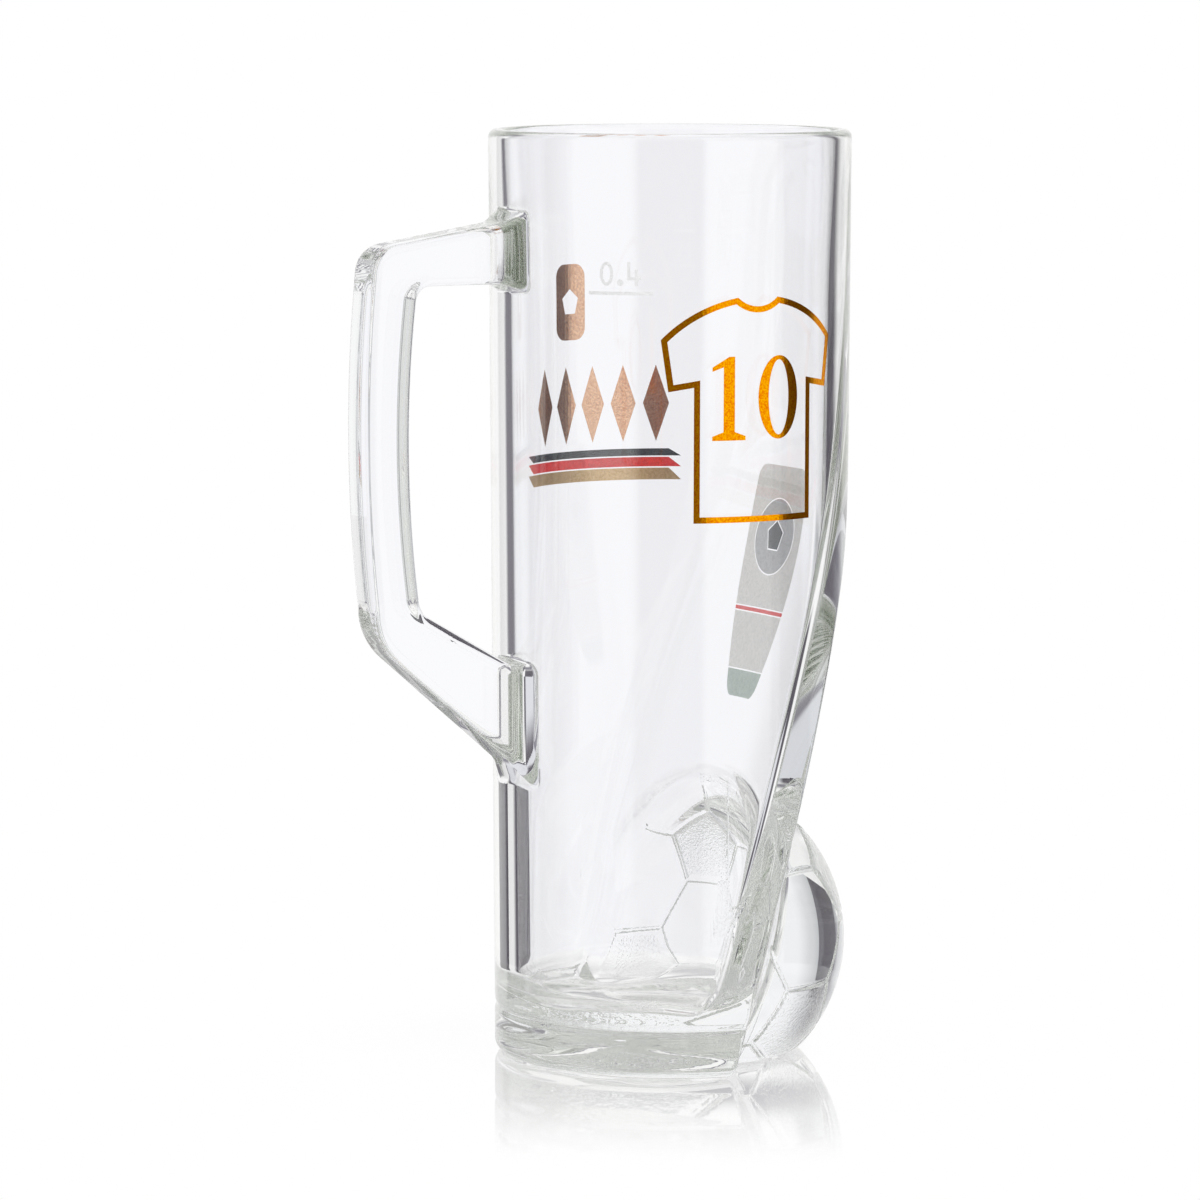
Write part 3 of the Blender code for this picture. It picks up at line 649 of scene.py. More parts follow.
def feed(tree, entry, value):
    """Links an input to a socket, or sets it to a value."""
    if isinstance(value, bpy.types.NodeSocket):
        tree.links.new(value, entry)
    else:
        entry.default_value = value


def add_node(tree, kind, **settings):
    """Node of a kind, with settings, and with values or sockets for its inputs."""
    node = tree.nodes.new(kind)
    for name, value in settings.items():
        if name in node.inputs:
            feed(tree, node.inputs[name], value)
        else:
            setattr(node, name, value)
    return node


def worked_out(tree, operation, *values):
    """Socket of a Math node on sockets or numbers."""
    node = add_node(tree, "ShaderNodeMath", operation=operation)
    for entry, value in zip(node.inputs, values):
        feed(tree, entry, value)
    return node.outputs[0]


def clear_glass():
    """Clear pressed glass with a stippled part."""
    made, tree, shader = new_finish("clear_glass")
    shader.inputs["Base Color"].default_value = CLEAR
    shader.inputs["Roughness"].default_value = 0.0
    shader.inputs["IOR"].default_value = GLASS_IOR
    shader.inputs["Transmission Weight"].default_value = 1.0
    place = add_node(tree, "ShaderNodeTexCoord").outputs["Object"]
    grain = add_node(tree, "ShaderNodeTexNoise", Vector=place, Scale=STIPPLE_SCALE, Detail=2.0, Roughness=0.6)
    stipple = add_node(tree, "ShaderNodeAttribute", attribute_name="stipple")
    height = worked_out(tree, "MULTIPLY", grain.outputs["Fac"], stipple.outputs["Fac"])
    bump = add_node(tree, "ShaderNodeBump", Height=height, Strength=1.0, Distance=STIPPLE_HEIGHT)
    feed(tree, shader.inputs["Normal"], bump.outputs["Normal"])
    inside = add_node(tree, "ShaderNodeVolumeAbsorption", Color=GLASS_TINT, Density=GLASS_DENSITY)
    feed(tree, tree.nodes["Material Output"].inputs["Volume"], inside.outputs["Volume"])
    return made


glass_finish = clear_glass()
print("clear glass:", len(glass_finish.node_tree.nodes), "nodes")

# %% [markdown]
# ## The glass as a piece
#
# Every visible piece is tied to the CAD model by name: it rides on the body, takes a material slot of the
# record and stands for one or more CAD nodes, which are then hidden. The CAD keeps its four glass solids
# apart. Here they are one piece, because a gap inside clear glass would shine.

# %% Glass piece
STIPPLE_REACH = SEAM_DEPTH + 0.2
STIPPLE_FADE = 1.0
PENTAGONS = 12
GLASS_NODES = ("beaker", "base_slab", "ball_foot", "handle")


def add_piece(name, mesh, finish, nodes):
    """Piece of the mug that rides on the body and stands for CAD nodes."""
    piece = bpy.data.objects.new(name, mesh)
    bpy.context.collection.objects.link(piece)
    mesh.materials.clear()
    mesh.materials.append(finish)
    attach(piece, "root")
    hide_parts(*nodes)
    return piece


def mark_stipple(mesh, points):
    """Writes one where a point lies on a pentagon of the ball, fading out towards the seams."""
    seam, panel = nearest_seam(points)
    on_skin = np.abs(np.linalg.norm(points - BALL_CENTRE, axis=1) - BALL_RADIUS) < STIPPLE_REACH
    inner = np.clip((seam - SEAM_WIDTH / 2) / STIPPLE_FADE, 0.0, 1.0)
    marks = np.where(on_skin & (panel < PENTAGONS), inner, 0.0)
    mesh.attributes.new("stipple", "FLOAT", "POINT").data.foreach_set("value", marks.astype(np.float32))
    return int((marks > 0).sum())


print("stippled points:", mark_stipple(skin, skin_points))
add_piece("mug_glass", skin, glass_finish, GLASS_NODES)

# %% [markdown]
# ## Laying a print on the glass
#
# A fired print is a skin a few hundredths of a millimetre thick. An image texture would be the usual way, but
# a print made of mesh stays sharp at any size. Each print is drawn flat, cut into narrow strips so that it
# can bend, given its thickness and wrapped: round the wall for the two sides, up the curve for the front.

# %% Print helpers
PRINT_LIFT = 0.02
PRINT_THICKNESS = 0.04
STRIP = 1.0
MERGE = 0.0001


def wall_place(side):
    """Place on the wall for a point to the right and up, as seen from outside, lifted off the glass."""
    def place(right, up, lift):
        radius = wall_radius(up)
        turn = math.radians(side) + right / radius
        return Vector(((radius + lift) * math.cos(turn), (radius + lift) * math.sin(turn), up))
    return place


def flat_shape(*loops):
    """Flat face inside an outer loop of (right, up) points and round any holes."""
    bm = bmesh.new()
    edges = []
    for loop in loops:
        points = [bm.verts.new((right, up, 0.0)) for right, up in loop]
        edges += [bm.edges.new((a, b)) for a, b in zip(points, points[1:] + points[:1])]
    bmesh.ops.triangle_fill(bm, edges=edges, use_beauty=True)
    return bm


def cut_strips(bm, axis):
    """Cuts a flat shape into strips across one of its axes."""
    normal = Vector((0.0, 0.0, 0.0))
    normal[axis] = 1.0
    ends = [vert.co[axis] for vert in bm.verts]
    for i in range(math.floor(min(ends) / STRIP), math.ceil(max(ends) / STRIP)):
        everything = bm.verts[:] + bm.edges[:] + bm.faces[:]
        level = normal * (i + 0.5) * STRIP
        bmesh.ops.bisect_plane(bm, geom=everything, dist=MERGE, plane_co=level, plane_no=normal)


def lay_print(name, bm, place, finish, node, curved_up=False):
    """Print from a flat shape, wrapped onto the glass as a closed skin."""
    cut_strips(bm, 0)
    if curved_up:
        cut_strips(bm, 1)
    raised = bmesh.ops.extrude_face_region(bm, geom=bm.faces[:])["geom"]
    upper = {item for item in raised if isinstance(item, bmesh.types.BMVert)}
    for vert in bm.verts:
        lift = PRINT_LIFT + (PRINT_THICKNESS if vert in upper else 0.0)
        vert.co = place(vert.co.x, vert.co.y, lift) * MM
    bmesh.ops.recalc_face_normals(bm, faces=bm.faces)
    mesh = bpy.data.meshes.new(name)
    bm.to_mesh(mesh)
    bm.free()
    return add_piece(name, mesh, finish, (node,))


sample_place = wall_place(0.0)(10.0, 150.0, 0.0)
print("a point 10 mm along the wall:", tuple(round(c, 1) for c in sample_place))

# %% [markdown]
# ## Lustre and enamel
#
# Lustre is a film of metal, so it mirrors the studio: the same orange is bright where it meets a lamp and
# nearly brown where it meets the dark. A metallic Principled shader does this by itself. Under the lens the
# film is speckled, so a noise moves its colour between a yellow and a red orange. Enamel is ground glass with
# pigment: not metallic, with a soft shine and a slight unevenness.

# %% Lustre and enamel
SPECK_DARK = 0.38
SPECK_LIGHT = 0.58
LEAST_SHINE = 0.8
MOST_SHINE = 1.25
FILM_BUMP = 0.15
FILM_HEIGHT = 0.00005


def faded(tree, value, near, far, at_near, at_far, manner="SMOOTHSTEP"):
    """Socket that goes from one number to another while a value goes from near to far."""
    ends = {"From Min": near, "From Max": far, "To Min": at_near, "To Max": at_far}
    fade = add_node(tree, "ShaderNodeMapRange", interpolation_type=manner, Value=value, **ends)
    return fade.outputs["Result"]


def speckled(name, light, dark, scale, metallic, roughness):
    """Fired print whose colour wanders between two tones in fine speckles."""
    made, tree, shader = new_finish(name)
    shader.inputs["Metallic"].default_value = metallic
    place = add_node(tree, "ShaderNodeTexCoord").outputs["Object"]
    noise = add_node(tree, "ShaderNodeTexNoise", Vector=place, Scale=scale, Detail=4.0, Roughness=0.7)
    speck = noise.outputs["Fac"]
    ramp = add_node(tree, "ShaderNodeValToRGB", Fac=speck)
    for element, position, tone in zip(ramp.color_ramp.elements, (SPECK_DARK, SPECK_LIGHT), (dark, light)):
        element.position = position
        element.color = (*tone, 1.0)
    feed(tree, shader.inputs["Base Color"], ramp.outputs["Color"])
    shine = faded(tree, speck, 0.0, 1.0, roughness * LEAST_SHINE, roughness * MOST_SHINE, "LINEAR")
    feed(tree, shader.inputs["Roughness"], shine)
    bump = add_node(tree, "ShaderNodeBump", Height=speck, Strength=FILM_BUMP, Distance=FILM_HEIGHT)
    feed(tree, shader.inputs["Normal"], bump.outputs["Normal"])
    return made


finishes = {
    "orange_lustre": speckled("orange_lustre", (1.0, 0.45, 0.0), (0.80, 0.16, 0.0), 2600.0, 1.0, 0.13),
    "copper_lustre": speckled("copper_lustre", (0.88, 0.58, 0.38), (0.62, 0.30, 0.16), 2200.0, 1.0, 0.13),
    "gold_enamel": speckled("gold_enamel", (0.80, 0.58, 0.30), (0.62, 0.40, 0.17), 2200.0, 0.8, 0.3),
    "red_enamel": speckled("red_enamel", (0.85, 0.012, 0.010), (0.62, 0.006, 0.006), 1800.0, 0.0, 0.3),
    "dark_enamel": speckled("dark_enamel", (0.03, 0.045, 0.045), (0.012, 0.018, 0.02), 1800.0, 0.0, 0.3),
    "white_enamel": speckled("white_enamel", (0.95, 0.95, 0.95), (0.78, 0.78, 0.78), 3000.0, 0.0, 0.5),
    "pale_enamel": speckled("pale_enamel", (0.78, 0.77, 0.74), (0.66, 0.66, 0.63), 1500.0, 0.0, 0.45),
    "green_enamel": speckled("green_enamel", (0.45, 0.53, 0.47), (0.34, 0.42, 0.37), 1500.0, 0.0, 0.45),
    "grey_enamel": speckled("grey_enamel", (0.50, 0.51, 0.51), (0.38, 0.39, 0.40), 1500.0, 0.0, 0.45),
}
print("print finishes:", len(finishes))

# %% [markdown]
# ## Shirt with a number
#
# The near side carries the outline of a football shirt. Drawing only one half and mirroring it keeps the
# shirt even, and an inset of the closed face turns it into a line of one width, sharp at the cuffs as a pen
# would draw it. The figures have the thick and thin strokes of a book face.

# %% Shirt with a number
NEAR_SIDE = -90.6
SHIRT_TOP = 165.9
SHIRT_HEIGHT = 47.2
SHIRT_HALF_WIDTH = 14.2
SHIRT_LINE = 1.3
SLEEVE_REACH = 7.0
SLEEVE_LENGTH = 10.9
CUFF_LEAN = 1.6
CUFF_RISE = 0.9
SHOULDER_DROP = 8.7
SHOULDER_BULGE = 1.5
COLLAR_HALF_WIDTH = 4.7
COLLAR_DEPTH = 1.9
DIGIT_HEIGHT = 17.6
DIGIT_STROKE = 2.5
DIGIT_THIN = 0.9
ZERO_WIDTH = 10.2
ONE_WIDTH = 7.4
ONE_FLAG_DROP = 2.2
DIGIT_SPACING = 3.0
DIGITS_DROP = 12.3
ARC_STEPS = 20
OVAL_STEPS = 64


def bulged(start, end, rise):
    """Points of an arc between two ends that swells to the right of its way by a rise, or sinks."""
    start, end = Vector(start), Vector(end)
    half = (end - start) / 2
    right = Vector((half.y, -half.x)).normalized()
    radius = (half.length_squared + rise * rise) / (2 * rise)
    centre = start + half + right * (rise - radius)
    sweep = 2 * math.asin(half.length / radius)
    turns = [sweep * i / ARC_STEPS for i in range(ARC_STEPS + 1)]
    return [tuple(centre + Matrix.Rotation(turn, 2) @ (start - centre)) for turn in turns]


def oval(centre, half_width, half_height, steps=OVAL_STEPS):
    """Points round an ellipse, or a polygon when the steps are few, from its top."""
    turns = [math.tau * i / steps + math.pi / 2 for i in range(steps)]
    return [(centre[0] + half_width * math.cos(t), centre[1] + half_height * math.sin(t)) for t in turns]


def shirt_line():
    """Line round a football shirt."""
    cuff_top = SHIRT_TOP - SHOULDER_DROP
    cuff_low = cuff_top - SLEEVE_LENGTH
    cuff = SHIRT_HALF_WIDTH + SLEEVE_REACH
    neck = (COLLAR_HALF_WIDTH, SHIRT_TOP)
    half = [(SHIRT_HALF_WIDTH, SHIRT_TOP - SHIRT_HEIGHT), (SHIRT_HALF_WIDTH, cuff_low + CUFF_RISE)]
    half += [(cuff - CUFF_LEAN, cuff_low)] + bulged((cuff, cuff_top), neck, SHOULDER_BULGE)
    collar = bulged(neck, (-neck[0], neck[1]), -COLLAR_DEPTH)
    outline = half + collar[1:-1] + [(-right, up) for right, up in half[::-1]]
    bm = bmesh.new()
    cloth = bm.faces.new([bm.verts.new((right, up, 0.0)) for right, up in outline])
    cloth.normal_update()
    bmesh.ops.inset_region(bm, faces=[cloth], thickness=SHIRT_LINE, use_boundary=True, use_even_offset=True)
    bmesh.ops.delete(bm, geom=[cloth], context="FACES_ONLY")
    return bm


def figure_one(centre, low, high):
    """Outline of a figure one with a flag and a foot."""
    stem = DIGIT_STROKE / 2
    foot = ONE_WIDTH / 2
    flag = high - ONE_FLAG_DROP
    points = [(-foot, low), (foot, low), (foot, low + DIGIT_THIN), (stem, low + 2 * DIGIT_THIN), (stem, high)]
    points += [(0.0, high), (-foot, flag), (-foot, flag - DIGIT_THIN), (-stem, flag)]
    points += [(-stem, low + 2 * DIGIT_THIN), (-foot, low + DIGIT_THIN)]
    return [(centre + right, up) for right, up in points]


def print_shirt():
    """Shirt and its number in orange lustre."""
    place = wall_place(NEAR_SIDE)
    lustre = finishes["orange_lustre"]
    high = SHIRT_TOP - DIGITS_DROP
    low = high - DIGIT_HEIGHT
    span = ONE_WIDTH + DIGIT_SPACING + ZERO_WIDTH
    middle = (span / 2 - ZERO_WIDTH / 2, (low + high) / 2)
    bowl = oval(middle, ZERO_WIDTH / 2, DIGIT_HEIGHT / 2)
    counter = oval(middle, ZERO_WIDTH / 2 - DIGIT_STROKE, DIGIT_HEIGHT / 2 - DIGIT_THIN)
    one = figure_one(ONE_WIDTH / 2 - span / 2, low, high)
    lay_print("shirt_line", shirt_line(), place, lustre, "shirt_outline")
    lay_print("shirt_one", flat_shape(one), place, lustre, "shirt_digit_one")
    lay_print("shirt_zero", flat_shape(bowl, counter), place, lustre, "shirt_digit_zero")


print_shirt()
print("shirt:", round(2 * (SHIRT_HALF_WIDTH + SLEEVE_REACH), 1), "mm wide,", SHIRT_HEIGHT, "mm high")

# %% [markdown]
# ## Far side
#
# The far side is seen through the mug. It carries a ribbon of three bands, a row of copper lozenges above it
# and a rounded badge. All are simple outlines: the bands lean, a lozenge is an oval of four points, and the
# badge is a rounded box with a pentagon for its hole.

# %% Far side
FAR_SIDE = 90.0
RIBBON_TOP = 128.0
RIBBON_LENGTH = 45.0
RIBBON_SLANT = 3.0
BAND_HEIGHTS = {"dark": 1.6, "red": 2.1, "gold": 2.6}
BAND_GAP = 0.3
LOZENGES = 5
LOZENGE_CORNERS = 4
LOZENGE_HEIGHT = 17.0
LOZENGE_WIDTH = 6.4
LOZENGE_PITCH = 8.2
LOZENGE_LIFT = 1.6
BADGE_TURN = 10.0
BADGE_TOP = 168.0
BADGE_WIDTH = 9.3
BADGE_HEIGHT = 15.5
BADGE_ROUND = 2.8
BADGE_HOLE = 2.7
PENTAGON_CORNERS = 5


def rounded_box(width, low, high, low_round, high_round):
    """Outline of a centred rectangle with rounded lower and upper corners, square where a round is nil."""
    corners = ((1, low, low_round), (1, high, high_round), (-1, high, high_round), (-1, low, low_round))
    points = []
    for i, (side, level, radius) in enumerate(corners):
        inward = 1 if level == low else -1
        centre = (side * (width / 2 - radius), level + inward * radius)
        turns = [(i - 1 + j / CORNER_STEPS) * math.pi / 2 for j in range(CORNER_STEPS + 1)]
        arc = [(centre[0] + radius * math.cos(t), centre[1] + radius * math.sin(t)) for t in turns]
        points += arc if radius else [centre]
    return points


def print_far_side():
    """Ribbon, lozenges and badge."""
    place = wall_place(FAR_SIDE)
    level = RIBBON_TOP
    half = RIBBON_LENGTH / 2
    for colour, height in BAND_HEIGHTS.items():
        low = level - height
        band = [(-half, low), (half, low), (half + RIBBON_SLANT, level), (-half + RIBBON_SLANT, level)]
        slot = f"{colour}_enamel"
        lay_print(f"ribbon_{colour}", flat_shape(band), place, finishes[slot], f"ribbon_{colour}_band")
        level = low - BAND_GAP
    copper = finishes["copper_lustre"]
    for i in range(LOZENGES):
        centre = ((i - (LOZENGES - 1) / 2) * LOZENGE_PITCH, RIBBON_TOP + LOZENGE_LIFT + LOZENGE_HEIGHT / 2)
        shape = flat_shape(oval(centre, LOZENGE_WIDTH / 2, LOZENGE_HEIGHT / 2, LOZENGE_CORNERS))
        lay_print(f"copper_lozenge_{i + 1}", shape, place, copper, f"lozenge_{i + 1}")
    outline = rounded_box(BADGE_WIDTH, BADGE_TOP - BADGE_HEIGHT, BADGE_TOP, BADGE_ROUND, BADGE_ROUND)
    hole = oval((0.0, BADGE_TOP - BADGE_HEIGHT / 2), BADGE_HOLE, BADGE_HOLE, PENTAGON_CORNERS)
    badge_place = wall_place(FAR_SIDE + BADGE_TURN)
    lay_print("copper_badge", flat_shape(outline, hole), badge_place, copper, "badge")


print_far_side()
print("lozenges:", LOZENGES, "bands:", len(BAND_HEIGHTS))

# %% [markdown]
# ## Fill mark
#
# A bar glass often has a line and a number that say how much it holds. Here they stand on the near side
# between the handle and the shirt. They are thin white strokes, so against a white studio they show only
# faintly.

# %% Fill mark
FILL_TURN = -44.0
FILL_LINE = 166.5
FILL_LINE_WIDTH = 14.0
FILL_STROKE = 0.7
FILL_HEIGHT = 5.0
FILL_WIDTH = 3.0
FILL_SPACING = 0.8
FILL_LIFT = 1.2
POINT_STEPS = 24
FOUR_BAR = 1.2
FOUR_STEM_HEIGHT = 3.5


def figure_four(left, low):
    """Outline of a figure four with an open top."""
    stem = FILL_WIDTH - 2 * FILL_STROKE
    over = FOUR_BAR + FILL_STROKE
    right = stem + FILL_STROKE
    points = [(0.0, FOUR_BAR), (stem, FOUR_BAR), (stem, 0.0), (right, 0.0), (right, FOUR_BAR)]
    points += [(FILL_WIDTH, FOUR_BAR), (FILL_WIDTH, over), (right, over), (right, FOUR_STEM_HEIGHT)]
    points += [(stem, FOUR_STEM_HEIGHT), (stem, over), (FILL_STROKE, over), (FILL_STROKE, FILL_HEIGHT)]
    points += [(0.0, FILL_HEIGHT)]
    return [(left + x, low + y) for x, y in points]


def print_fill_mark():
    """Fill line with the capacity above it."""
    place = wall_place(NEAR_SIDE + FILL_TURN)
    top = FILL_LINE + FILL_STROKE
    low = top + FILL_LIFT
    half = FILL_WIDTH / 2
    aside = FILL_SPACING + FILL_STROKE + half
    middle = (-aside, low + FILL_HEIGHT / 2)
    counter = oval(middle, half - FILL_STROKE, FILL_HEIGHT / 2 - FILL_STROKE)
    shapes = {
        "fill_line": (rounded_box(FILL_LINE_WIDTH, FILL_LINE, top, 0.0, 0.0),),
        "fill_digit_zero": (oval(middle, half, FILL_HEIGHT / 2), counter),
        "fill_point": (oval((0.0, low + FILL_STROKE), FILL_STROKE, FILL_STROKE, POINT_STEPS),),
        "fill_digit_four": (figure_four(aside - half, low),),
    }
    for node, loops in shapes.items():
        lay_print(f"white_{node}", flat_shape(*loops), place, finishes["white_enamel"], node)
    return len(shapes)


print("fill mark pieces:", print_fill_mark())

# %% [markdown]
# ## Label on the slanted front
#
# The label looks out over the ball, so the photograph shows its back through two walls of glass. It is a pale
# panel with a disc, a thin red line and a green band at its foot.

# %% Label on the slanted front
LABEL_WIDTH = 23.2
LABEL_SIDE_RADIUS = 102.0
LABEL_FOOT = 75.0
LABEL_BAND = 5.6
LABEL_LOWER = 12.0
LABEL_LINE = 0.8
LABEL_UPPER = 31.0
LABEL_GAP = 0.3
LABEL_ROUND = 3.0
LABEL_DISC = 8.2
LABEL_PENTAGON = 3.4
LABEL_MIDDLE = LABEL_FOOT + LABEL_BAND + LABEL_LOWER + LABEL_LINE + 3 * LABEL_GAP + LABEL_UPPER / 2


def label_place(right, up, lift):
    """Place on the slanted front for a point of the label, whose sides bow out towards its disc."""
    narrowing = (up - LABEL_MIDDLE) ** 2 / (2 * LABEL_SIDE_RADIUS)
    across = right * (1.0 - narrowing / (LABEL_WIDTH / 2))
    lean = math.atan(np.interp(up + 1.0, *outer_front) - np.interp(up, *outer_front))
    depth = float(np.interp(up, *outer_front)) - front_swell(across)
    return Vector((depth + lift * math.cos(lean), across, up - lift * math.sin(lean)))


def print_label():
    """Label from its foot band up to the panel with a disc."""
    level = LABEL_FOOT
    strips = (("label_band", LABEL_BAND, "green_enamel", LABEL_ROUND),
              ("label_lower_panel", LABEL_LOWER, "pale_enamel", 0.0),
              ("label_line", LABEL_LINE, "red_enamel", 0.0))
    for node, height, slot, low_round in strips:
        outline = rounded_box(LABEL_WIDTH, level, level + height, low_round, 0.0)
        lay_print(f"front_{node}", flat_shape(outline), label_place, finishes[slot], node, True)
        level += height + LABEL_GAP
    outline = rounded_box(LABEL_WIDTH, level, level + LABEL_UPPER, 0.0, LABEL_ROUND)
    middle = (0.0, LABEL_MIDDLE)
    hole = oval(middle, LABEL_DISC + LABEL_GAP, LABEL_DISC + LABEL_GAP)
    eye = LABEL_PENTAGON + LABEL_GAP / math.cos(math.pi / PENTAGON_CORNERS)
    disc = (oval(middle, LABEL_DISC, LABEL_DISC), oval(middle, eye, eye, PENTAGON_CORNERS))
    pentagon = oval(middle, LABEL_PENTAGON, LABEL_PENTAGON, PENTAGON_CORNERS)
    shapes = (("label_upper_panel", "pale_enamel", (outline, hole)),
              ("label_disc", "grey_enamel", disc),
              ("label_pentagon", "dark_enamel", (pentagon,)))
    for node, slot, loops in shapes:
        lay_print(f"front_{node}", flat_shape(*loops), label_place, finishes[slot], node, True)
    return level + LABEL_UPPER


print("top of the label:", round(print_label(), 1), "mm")

# %% [markdown]
# ## Floor
#
# The mug stands on a glossy white board whose mirror image fades within a hand's breadth. A white floor that
# is only lit never gets quite white, so what the lens and the glass see of it is mostly plain white light,
# told apart by the Light Path node. A share of it stays an ordinary lit surface and keeps the soft shadow.
# Under the base the white is dimmer: a painted shadow, darkest at the mug's axis, stands in for the shade
# that the mug casts there. The board lies forward of the mug, where its mirror image falls, and its shine
# ends before its edge, so that no rim shows.

# %% Floor
BOARD_RADIUS = 0.12
BOARD_FORWARD = (-0.024, -0.044, 0.0)
BOARD_STEPS = 128
BOARD_COLOUR = (0.95, 0.95, 0.95, 1.0)
BOARD_ROUGHNESS = 0.6
MUG_AXIS = (0.0, 0.0, 0.0)
BASE_REACH = 0.036
# strength of the painted shadow in the board's white light at the mug's axis
BASE_PAINTED_SHADOW = 0.60
FLOOR_DROP = 0.0002
MIRROR_NEAR = 0.035
MIRROR_FAR = 0.125
MIRROR_STRENGTH = 0.62
MIRROR_EDGE = 0.070
MIRROR_ROUGHNESS = 0.03
LIT_SHARE = 0.10


def seen_rays(tree):
    """Socket that is one for rays from the lens and for those that glass or metal sends on."""
    path = add_node(tree, "ShaderNodeLightPath").outputs
    mirrored = worked_out(tree, "MAXIMUM", path["Is Camera Ray"], path["Is Glossy Ray"])
    return worked_out(tree, "MAXIMUM", mirrored, path["Is Transmission Ray"])


def mixed(tree, share, first, second):
    """Socket of a shader between two others."""
    mix = add_node(tree, "ShaderNodeMixShader", Fac=share)
    feed(tree, mix.inputs[1], first)
    feed(tree, mix.inputs[2], second)
    return mix.outputs[0]


def away_from(tree, place, point):
    """Socket of the distance from a point."""
    away = add_node(tree, "ShaderNodeVectorMath", operation="DISTANCE")
    feed(tree, away.inputs[0], place)
    feed(tree, away.inputs[1], point)
    return away.outputs["Value"]


def floor_finish():
    """White board with a mirror image that fades away from the mug and towards the board's edge."""
    made, tree, shader = new_finish("white_board")
    shader.inputs["Base Color"].default_value = BOARD_COLOUR
    shader.inputs["Roughness"].default_value = BOARD_ROUGHNESS
    shader.inputs["Specular IOR Level"].default_value = 0.0
    place = add_node(tree, "ShaderNodeTexCoord").outputs["Object"]
    from_mug = away_from(tree, place, MUG_AXIS)
    near = faded(tree, from_mug, MIRROR_NEAR, MIRROR_FAR, 1.0, 0.0)
    inward = faded(tree, away_from(tree, place, BOARD_FORWARD), MIRROR_EDGE, BOARD_RADIUS, 1.0, 0.0)
    shiny = worked_out(tree, "MULTIPLY", near, inward)
    glow = worked_out(tree, "MULTIPLY_ADD", shiny, -LIT_SHARE, 1.0)
    # painted shadow: the board's white light is darkened towards the mug's axis, out to the edge of the base
    painted_shadow = faded(tree, from_mug, 0.0, BASE_REACH, BASE_PAINTED_SHADOW, 1.0)
    white = add_node(tree, "ShaderNodeEmission", Strength=painted_shadow)
    mirror = add_node(tree, "ShaderNodeBsdfGlossy", Roughness=MIRROR_ROUGHNESS, Color=CLEAR)
    plain_light = worked_out(tree, "MULTIPLY", seen_rays(tree), glow)
    lit = mixed(tree, plain_light, shader.outputs["BSDF"], white.outputs["Emission"])
    strength = worked_out(tree, "MULTIPLY", shiny, MIRROR_STRENGTH)
    surface = mixed(tree, strength, lit, mirror.outputs["BSDF"])
    feed(tree, tree.nodes["Material Output"].inputs["Surface"], surface)
    return made


def add_floor():
    """Board that the mug stands on."""
    bm = bmesh.new()
    shift = Matrix.Translation(BOARD_FORWARD)
    bmesh.ops.create_circle(bm, cap_ends=True, segments=BOARD_STEPS, radius=BOARD_RADIUS, matrix=shift)
    mesh = bpy.data.meshes.new("board")
    bm.to_mesh(mesh)
    bm.free()
    mesh.materials.append(floor_finish())
    board = bpy.data.objects.new("board", mesh)
    board.location.z = -FLOOR_DROP
    bpy.context.collection.objects.link(board)
    return board


print("board:", tuple(round(side, 1) for side in add_floor().dimensions))

# %% [markdown]
# ## Studio colours
#
# Clear glass is only seen by what it bends towards us, so the studio matters as much as the mesh. A
# photographer puts dark cards between white walls, and the glass draws them as thin dark lines along its
# edges. Lamps and planes could be modelled for that, but a world that is drawn by direction adds no noise. So
# the studio is made of rings of colours by compass direction: one for mirror images, one for what shows
# straight through the glass, each with a lower version for rays that fall, and one for light that was led
# round inside the glass. A last list gives the ceiling and the ground by height.

# %% Studio colours
WHITE = (1.0, 1.0, 1.0, 1.0)
PALE = (0.97, 0.97, 1.0, 1.0)
GREY = (0.74, 0.75, 0.80, 1.0)
MILD = (0.50, 0.51, 0.53, 1.0)
SAGE = (0.68, 0.70, 0.64, 1.0)
DUSK = (0.24, 0.23, 0.27, 1.0)
DARK = (0.10, 0.09, 0.11, 1.0)
HALF_TURN = 180.0

before_lens = (
    (-180.0, GREY), (-146.0, GREY), (-141.0, DUSK), (-98.0, DUSK), (-94.0, WHITE), (-44.0, WHITE),
    (-42.0, DARK), (-17.0, DARK), (-13.0, GREY), (-1.0, GREY), (2.0, DARK), (22.0, DARK), (30.0, WHITE),
)
by_handle = ((140.0, DUSK), (160.0, DUSK), (166.0, GREY), (180.0, GREY))
behind_mug = (
    (-180.0, PALE), (25.0, PALE), (28.0, MILD), (32.0, MILD), (36.0, PALE), (95.0, PALE), (107.5, MILD),
)
behind_handle = ((142.0, MILD), (152.0, PALE), (180.0, PALE))
rings = {
    "mirror": (
        *before_lens, (96.0, WHITE), (99.5, DARK), (107.5, DARK), (112.0, GREY), (136.0, GREY), *by_handle,
    ),
    "low_mirror": (*before_lens, (104.0, WHITE), (108.0, DARK), (128.0, DARK), (133.0, GREY), *by_handle),
    "backdrop": (*behind_mug, (109.5, DARK), (118.0, DARK), (124.0, DUSK), (131.0, MILD), *behind_handle),
    "low_backdrop": (*behind_mug, *behind_handle),
    "led_round": ((-180.0, SAGE), (55.0, SAGE), (62.0, DUSK), (92.0, DUSK), (98.0, SAGE), (180.0, SAGE)),
}
heights = (
    (-1.0, GREY), (-0.75, WHITE), (-0.58, WHITE), (-0.46, DUSK), (-0.40, DUSK), (-0.33, WHITE),
    (0.33, WHITE), (0.42, DUSK), (0.50, DUSK), (0.58, WHITE), (0.65, WHITE), (0.69, DUSK), (0.72, DUSK),
    (0.77, WHITE), (0.85, WHITE), (0.88, DUSK), (0.91, DUSK), (0.95, WHITE), (1.0, WHITE),
)


